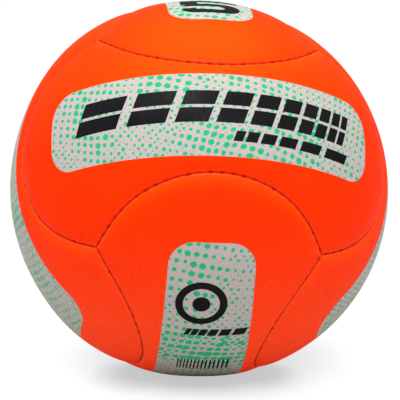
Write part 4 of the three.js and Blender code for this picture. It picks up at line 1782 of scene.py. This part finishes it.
@dataclass
class AirCell:
    """The bladder, and the valve in the middle of the back panel."""

    ball: BallSizes
    bladder_finish: RubberFinish
    valve_finish: RubberFinish
    patch_finish: ClothFinish
    bladder_wall: float = 0.6 * MM
    hole_radius: float = VALVE_HOLE_RADIUS
    neck_radius: float = 4.9 * MM
    recess: float = 1.0 * MM
    flange_radius: float = 14.0 * MM
    flange_thickness: float = 1.2 * MM
    stem_radius: float = 4.1 * MM
    stem_length: float = 14.0 * MM
    bore_radius: float = 2.2 * MM
    lip_thickness: float = 2.5 * MM
    needle_radius: float = 1.0 * MM
    needle_lead: float = 0.7 * MM
    face_rim: float = 1.3 * MM
    dish_slope: float = 0.6 * MM
    dish_drop: float = 0.35 * MM
    needle_rim: float = 0.8 * MM
    root_drop: float = 0.1 * MM
    edge_round: float = 0.4 * MM
    round_steps: int = 4
    axis_gap: float = 0.05 * MM
    patch_radius: float = 12.7 * MM
    sides: int = TURNED_SIDES
    bladder_steps: int = 60
    bladder_end_gap: float = 0.01
    patch_steps: int = 8

    def build(self) -> list[bpy.types.Object]:
        """Builds the bladder, the valve's two parts and the cloth ring round its neck."""
        basis = next(place for place in PLACES if place.name == "back").basis(self.ball)
        bladder, valve = self.bladder_finish.dress(), self.valve_finish.dress()
        outer = self.ball.crown_radius - self.ball.cover_depth - self.ball.clearance
        made = [
            self.turned_piece("air_bladder", self.bladder_profile(outer), basis, bladder, True),
            self.turned_piece("valve_mouth", self.valve_profile(outer), basis, valve, True),
            self.turned_piece("valve_core", self.core_profile(outer), basis, valve, False),
            self.turned_piece("valve_patch", self.patch_profile(), basis, self.patch_finish.dress(), True),
        ]
        for piece, node, slot in zip(
            made,
            ("bladder", "valve_body", "valve_insert", "valve_reinforcement"),
            ("bladder_rubber", "valve_rubber", "valve_rubber", "lining_cloth"),
        ):
            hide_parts(node)
        local = points_of(made[3]) @ basis
        write_vectors(made[3], "panel_mm", local / MM)
        return made

    def turned_piece(
        self, name: str, profile: Points, basis: np.ndarray, material: bpy.types.Material, closed: bool
    ) -> bpy.types.Object:
        """Makes a piece turned about the valve's axis."""
        points, faces = revolved(profile, self.sides, closed)
        piece = add_piece(name, self.ball.settle(points @ basis.T), faces, material)
        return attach(piece, "root")

    def bladder_profile(self, outer: float) -> Points:
        """The bladder's wall, from its mouth round the far end and back inside."""
        profile = []
        for radius, ways in ((outer, 1), (outer - self.bladder_wall, -1)):
            start, end = math.asin(self.hole_radius / radius), math.pi - self.bladder_end_gap
            angles = np.linspace(start, end, self.bladder_steps)[::ways]
            profile += [(radius * math.sin(angle), radius * math.cos(angle)) for angle in angles]
        return np.array(profile)[::-1]

    def valve_profile(self, outer: float) -> Points:
        """The valve: a dished lip round the needle's hole, a neck, a flange and a hollow stem."""
        inner = outer - self.bladder_wall
        root = inner - self.ball.clearance
        rim = math.sqrt(inner**2 - self.flange_radius**2) - self.ball.clearance
        face = self.ball.crown_radius - self.recess
        end = root - self.flange_thickness - self.stem_length
        corners = [
            (self.needle_radius, face - self.needle_lead),
            (self.needle_radius, face - self.lip_thickness),
            (self.bore_radius, face - self.lip_thickness),
            (self.bore_radius, end),
            (self.stem_radius, end),
            (self.stem_radius, root - self.flange_thickness),
            (self.flange_radius, rim - self.flange_thickness / 2),
            (self.flange_radius, rim),
            (self.neck_radius, root - self.root_drop),
            (self.neck_radius, face),
            (self.neck_radius - self.face_rim, face),
            (self.neck_radius - self.face_rim - self.dish_slope, face - self.dish_drop),
            (self.needle_radius + self.needle_rim, face - self.dish_drop),
        ]
        return rounded_profile(corners[::-1], self.edge_round, self.round_steps, True)

    def core_profile(self, outer: float) -> Points:
        """The self-sealing core inside the stem."""
        top = self.ball.crown_radius - self.recess - self.lip_thickness - self.ball.clearance
        root = outer - self.bladder_wall - self.ball.clearance
        low = root - self.flange_thickness - self.stem_length
        radius = self.bore_radius - self.ball.clearance
        corners = [(self.axis_gap, top), (radius, top), (radius, low), (self.axis_gap, low)]
        return rounded_profile(corners, self.edge_round, self.round_steps, False)

    def patch_profile(self) -> Points:
        """The cloth ring that backs the cover round the valve's neck."""
        profile = []
        for depth, ways in ((self.ball.lining_depth, 1), (self.ball.cover_depth, -1)):
            radius = self.ball.crown_radius - depth
            across = np.linspace(self.hole_radius, self.patch_radius, self.patch_steps)[::ways]
            profile += [(away, math.sqrt(radius**2 - away**2)) for away in across]
        return np.array(profile)


# The stage


@dataclass(frozen=True)
class Softbox:
    """A square soft light: where it hangs, what it is turned to, the length of its sides and its watts."""

    name: str
    at: tuple[float, float, float]
    towards: tuple[float, float, float]
    side: float
    power: float

    def hang(self) -> None:
        """Adds the light to the scene."""
        data = bpy.data.lights.new(self.name, "AREA")
        data.size = self.side
        data.energy = self.power
        light = bpy.data.objects.new(self.name, data)
        light.location = self.at
        aim = Vector(self.towards) - Vector(self.at)
        light.rotation_euler = aim.to_track_quat("-Z", "Y").to_euler()
        bpy.context.scene.collection.objects.link(light)


SOFTBOXES = (
    Softbox("Overhead softbox", (0.0, -0.7, 3.4), (0.0, 0.1, 0.0), 5.0, 178.0),
    Softbox("Front softbox", (-0.08, -1.2, 2.8), (0.0, 0.0, 0.0), 1.1, 32.0),
    Softbox("Side softbox", (-2.3, 0.2, 1.93), (0.0, 0.0, 0.0), 2.0, 10.0),
    Softbox("Side softbox", (2.3, 0.2, 1.93), (0.0, 0.0, 0.0), 2.0, 10.0),
)


@dataclass
class Studio:
    """The pale floor, the soft lights and the camera."""

    floor_height: float
    ball_radius: float
    floor_reach: float = 14.0
    floor_sides: int = 96
    floor_white: float = 1.02
    shade_radii: float = 6.0
    open_sky_range: tuple[float, float] = (0.075, 0.39)
    under_ball_tone: float = 0.54
    camera_elevation_deg: float = 10.0
    camera_radii: float = 14.9
    lens: float = 252.6
    sensor: float = 36.0
    ball_column: float = 199.0
    ball_row: float = 189.0
    image_side: float = 400.0
    world_strength: float = 0.52

    def build(self) -> None:
        """Sets up everything that isn't part of the ball."""
        self.floor()
        self.lights()
        self.camera()
        settings = bpy.context.scene.view_settings
        settings.view_transform = "Standard"
        settings.look = "None"

    def floor(self) -> None:
        """A wide pale disc just under the ball. The camera sees it only as emission, with a painted shadow
        under the ball; other rays see plain grey.
        """
        sides, reach = self.floor_sides, self.floor_reach
        angles = np.arange(sides) * 2 * np.pi / sides
        height = np.full(sides, self.floor_height)
        points = np.stack([reach * np.cos(angles), reach * np.sin(angles), height], axis=1)
        material = bpy.data.materials.new("Pale floor")
        material.use_nodes = True
        graph = Graph(material.node_tree)
        shader = material.node_tree.nodes["Principled BSDF"]
        place = millimetres(graph)
        tone = graph.ramp(graph.noise(place, 0.004, 2.0), 0.3, 0.7)
        bounce = graph.mix(tone, (0.6, 0.6, 0.6, 1), (0.62, 0.62, 0.62, 1))
        seen = graph.node("LightPath").outputs["Is Camera Ray"]
        graph.feed(shader.inputs["Base Color"], graph.mix(seen, bounce, (0.0, 0.0, 0.0, 1)))
        # The painted shadow under the ball: ambient occlusion and soft ovals set the floor's emission.
        open_sky = graph.node("AmbientOcclusion", samples=16)
        open_sky.inputs["Distance"].default_value = self.shade_radii * self.ball_radius
        tones = (self.under_ball_tone, self.floor_white)
        under_ball = graph.ramp(open_sky.outputs["AO"], *self.open_sky_range, *tones)
        mirrored = graph.vector("ABSOLUTE", graph.vector("MULTIPLY", place, (1.0, 0.0, 0.0)))
        folded = graph.vector("ADD", mirrored, graph.vector("MULTIPLY", place, (0.0, 1.0, 0.0)))
        tail = self.shade(graph, place, (4.0, 35.0), (86.0, 112.0), (0.41, 1.15, 0.72))
        lobes = self.shade(graph, folded, (30.0, 0.0), (45.0, 65.0), (0.2, 1.05, 0.58))
        shown = graph.math("MINIMUM", graph.math("MINIMUM", under_ball, tail), lobes)
        shown = graph.math("MULTIPLY", shown, seen)
        graph.feed(shader.inputs["Emission Color"], graph.combine(shown, shown, shown))
        shader.inputs["Emission Strength"].default_value = 1.0
        shader.inputs["Roughness"].default_value = 0.8
        shader.inputs["Specular IOR Level"].default_value = 0.0
        from_below = graph.node("MixShader")
        graph.feed(from_below.inputs[0], graph.node("NewGeometry").outputs["Backfacing"])
        graph.feed(from_below.inputs[1], shader.outputs[0])
        graph.feed(from_below.inputs[2], graph.node("BsdfTransparent").outputs[0])
        graph.feed(material.node_tree.nodes["Material Output"].inputs["Surface"], from_below.outputs[0])
        add_piece("floor", points, [tuple(range(sides))], material)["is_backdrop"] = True

    def shade(
        self,
        graph: Graph,
        place: Socket,
        middle: tuple[float, float],
        half: tuple[float, float],
        ease: tuple[float, float, float],
    ) -> Socket:
        """A soft oval of painted shadow on the floor.

        Args:
            graph: The floor's graph.
            place: The place on the floor, in millimetres.
            middle: The oval's middle.
            half: Half its width and half its depth.
            ease: The shares of the way out where it starts and ends to fade, and its darkest tone.

        Returns:
            The floor's tone.
        """
        away = graph.vector("SUBTRACT", place, (*middle, 0.0))
        share = graph.vector("LENGTH", graph.vector("MULTIPLY", away, (1 / half[0], 1 / half[1], 0.0)))
        start, end, darkest = ease
        return graph.ramp(share, start, end, darkest, self.floor_white)

    def lights(self) -> None:
        """The soft lights, and an even white surround."""
        world = bpy.data.worlds.new("Even surround")
        world.use_nodes = True
        background = world.node_tree.nodes["Background"]
        background.inputs["Color"].default_value = (1.0, 1.0, 1.0, 1.0)
        background.inputs["Strength"].default_value = self.world_strength
        bpy.context.scene.world = world
        for softbox in SOFTBOXES:
            softbox.hang()

    def camera(self) -> None:
        """The photograph's view: square on, from a little above."""
        data = bpy.data.cameras.new("Camera")
        data.lens = self.lens
        data.sensor_width = self.sensor
        data.shift_x = (self.image_side / 2 - self.ball_column) / self.image_side
        data.shift_y = (self.ball_row - self.image_side / 2) / self.image_side
        camera = bpy.data.objects.new("Camera", data)
        elevation = math.radians(self.camera_elevation_deg)
        back = Vector((0.0, -math.cos(elevation), math.sin(elevation)))
        camera.location = back * self.camera_radii * self.ball_radius
        camera.rotation_euler = (-back).to_track_quat("-Z", "Y").to_euler()
        data.clip_end = 4 * self.floor_reach
        bpy.context.scene.collection.objects.link(camera)
        bpy.context.scene.camera = camera


def main() -> None:
    """Loads the frame, keeps its box, builds each sub-assembly in order and sets up the studio on the box's
    floor.
    """
    logging.basicConfig(level=logging.INFO, format="%(name)s: %(message)s", stream=sys.stdout)
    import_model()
    cad_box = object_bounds()
    ball, seam = BallSizes(swells=SWELLS), SeamSizes()
    line = SeamLine(ball)
    cotton = ClothFinish("Cotton backing", (0.62, 0.56, 0.44), (0.3, 0.26, 0.19), 0.9, 0.2)
    thread = ThreadFinish("Orange thread", (0.75, 0.03, 0.001), (0.5, 0.012, 0.001), 0.7, 0.04)
    builders = (
        Cover(
            ball,
            seam,
            PanelOutline(ball, line),
            CoverFinish("Orange cover", (0.73, 0.0335, 0.0008), (0.7, 0.0315, 0.0008), 0.5, 0.015),
            FoamFinish("White foam", (0.78, 0.76, 0.7), (0.5, 0.48, 0.43), 0.85, 0.2),
            cotton,
        ),
        Stitching(ball, seam, line, thread),
        AirCell(
            ball,
            RubberFinish("Bladder rubber", (0.02, 0.018, 0.017), (0.07, 0.065, 0.06), 0.5, 0.4),
            RubberFinish("Valve rubber", (0.013, 0.013, 0.014), (0.035, 0.035, 0.036), 0.45, 0.5),
            cotton,
        ),
    )
    for builder in builders:
        for piece in builder.build():
            LOG.info("%s: %d faces", piece.name, len(piece.data.polygons))
    Studio(float(cad_box[0].z), ball.crown_radius).build()


if __name__ == "__main__":
    main()
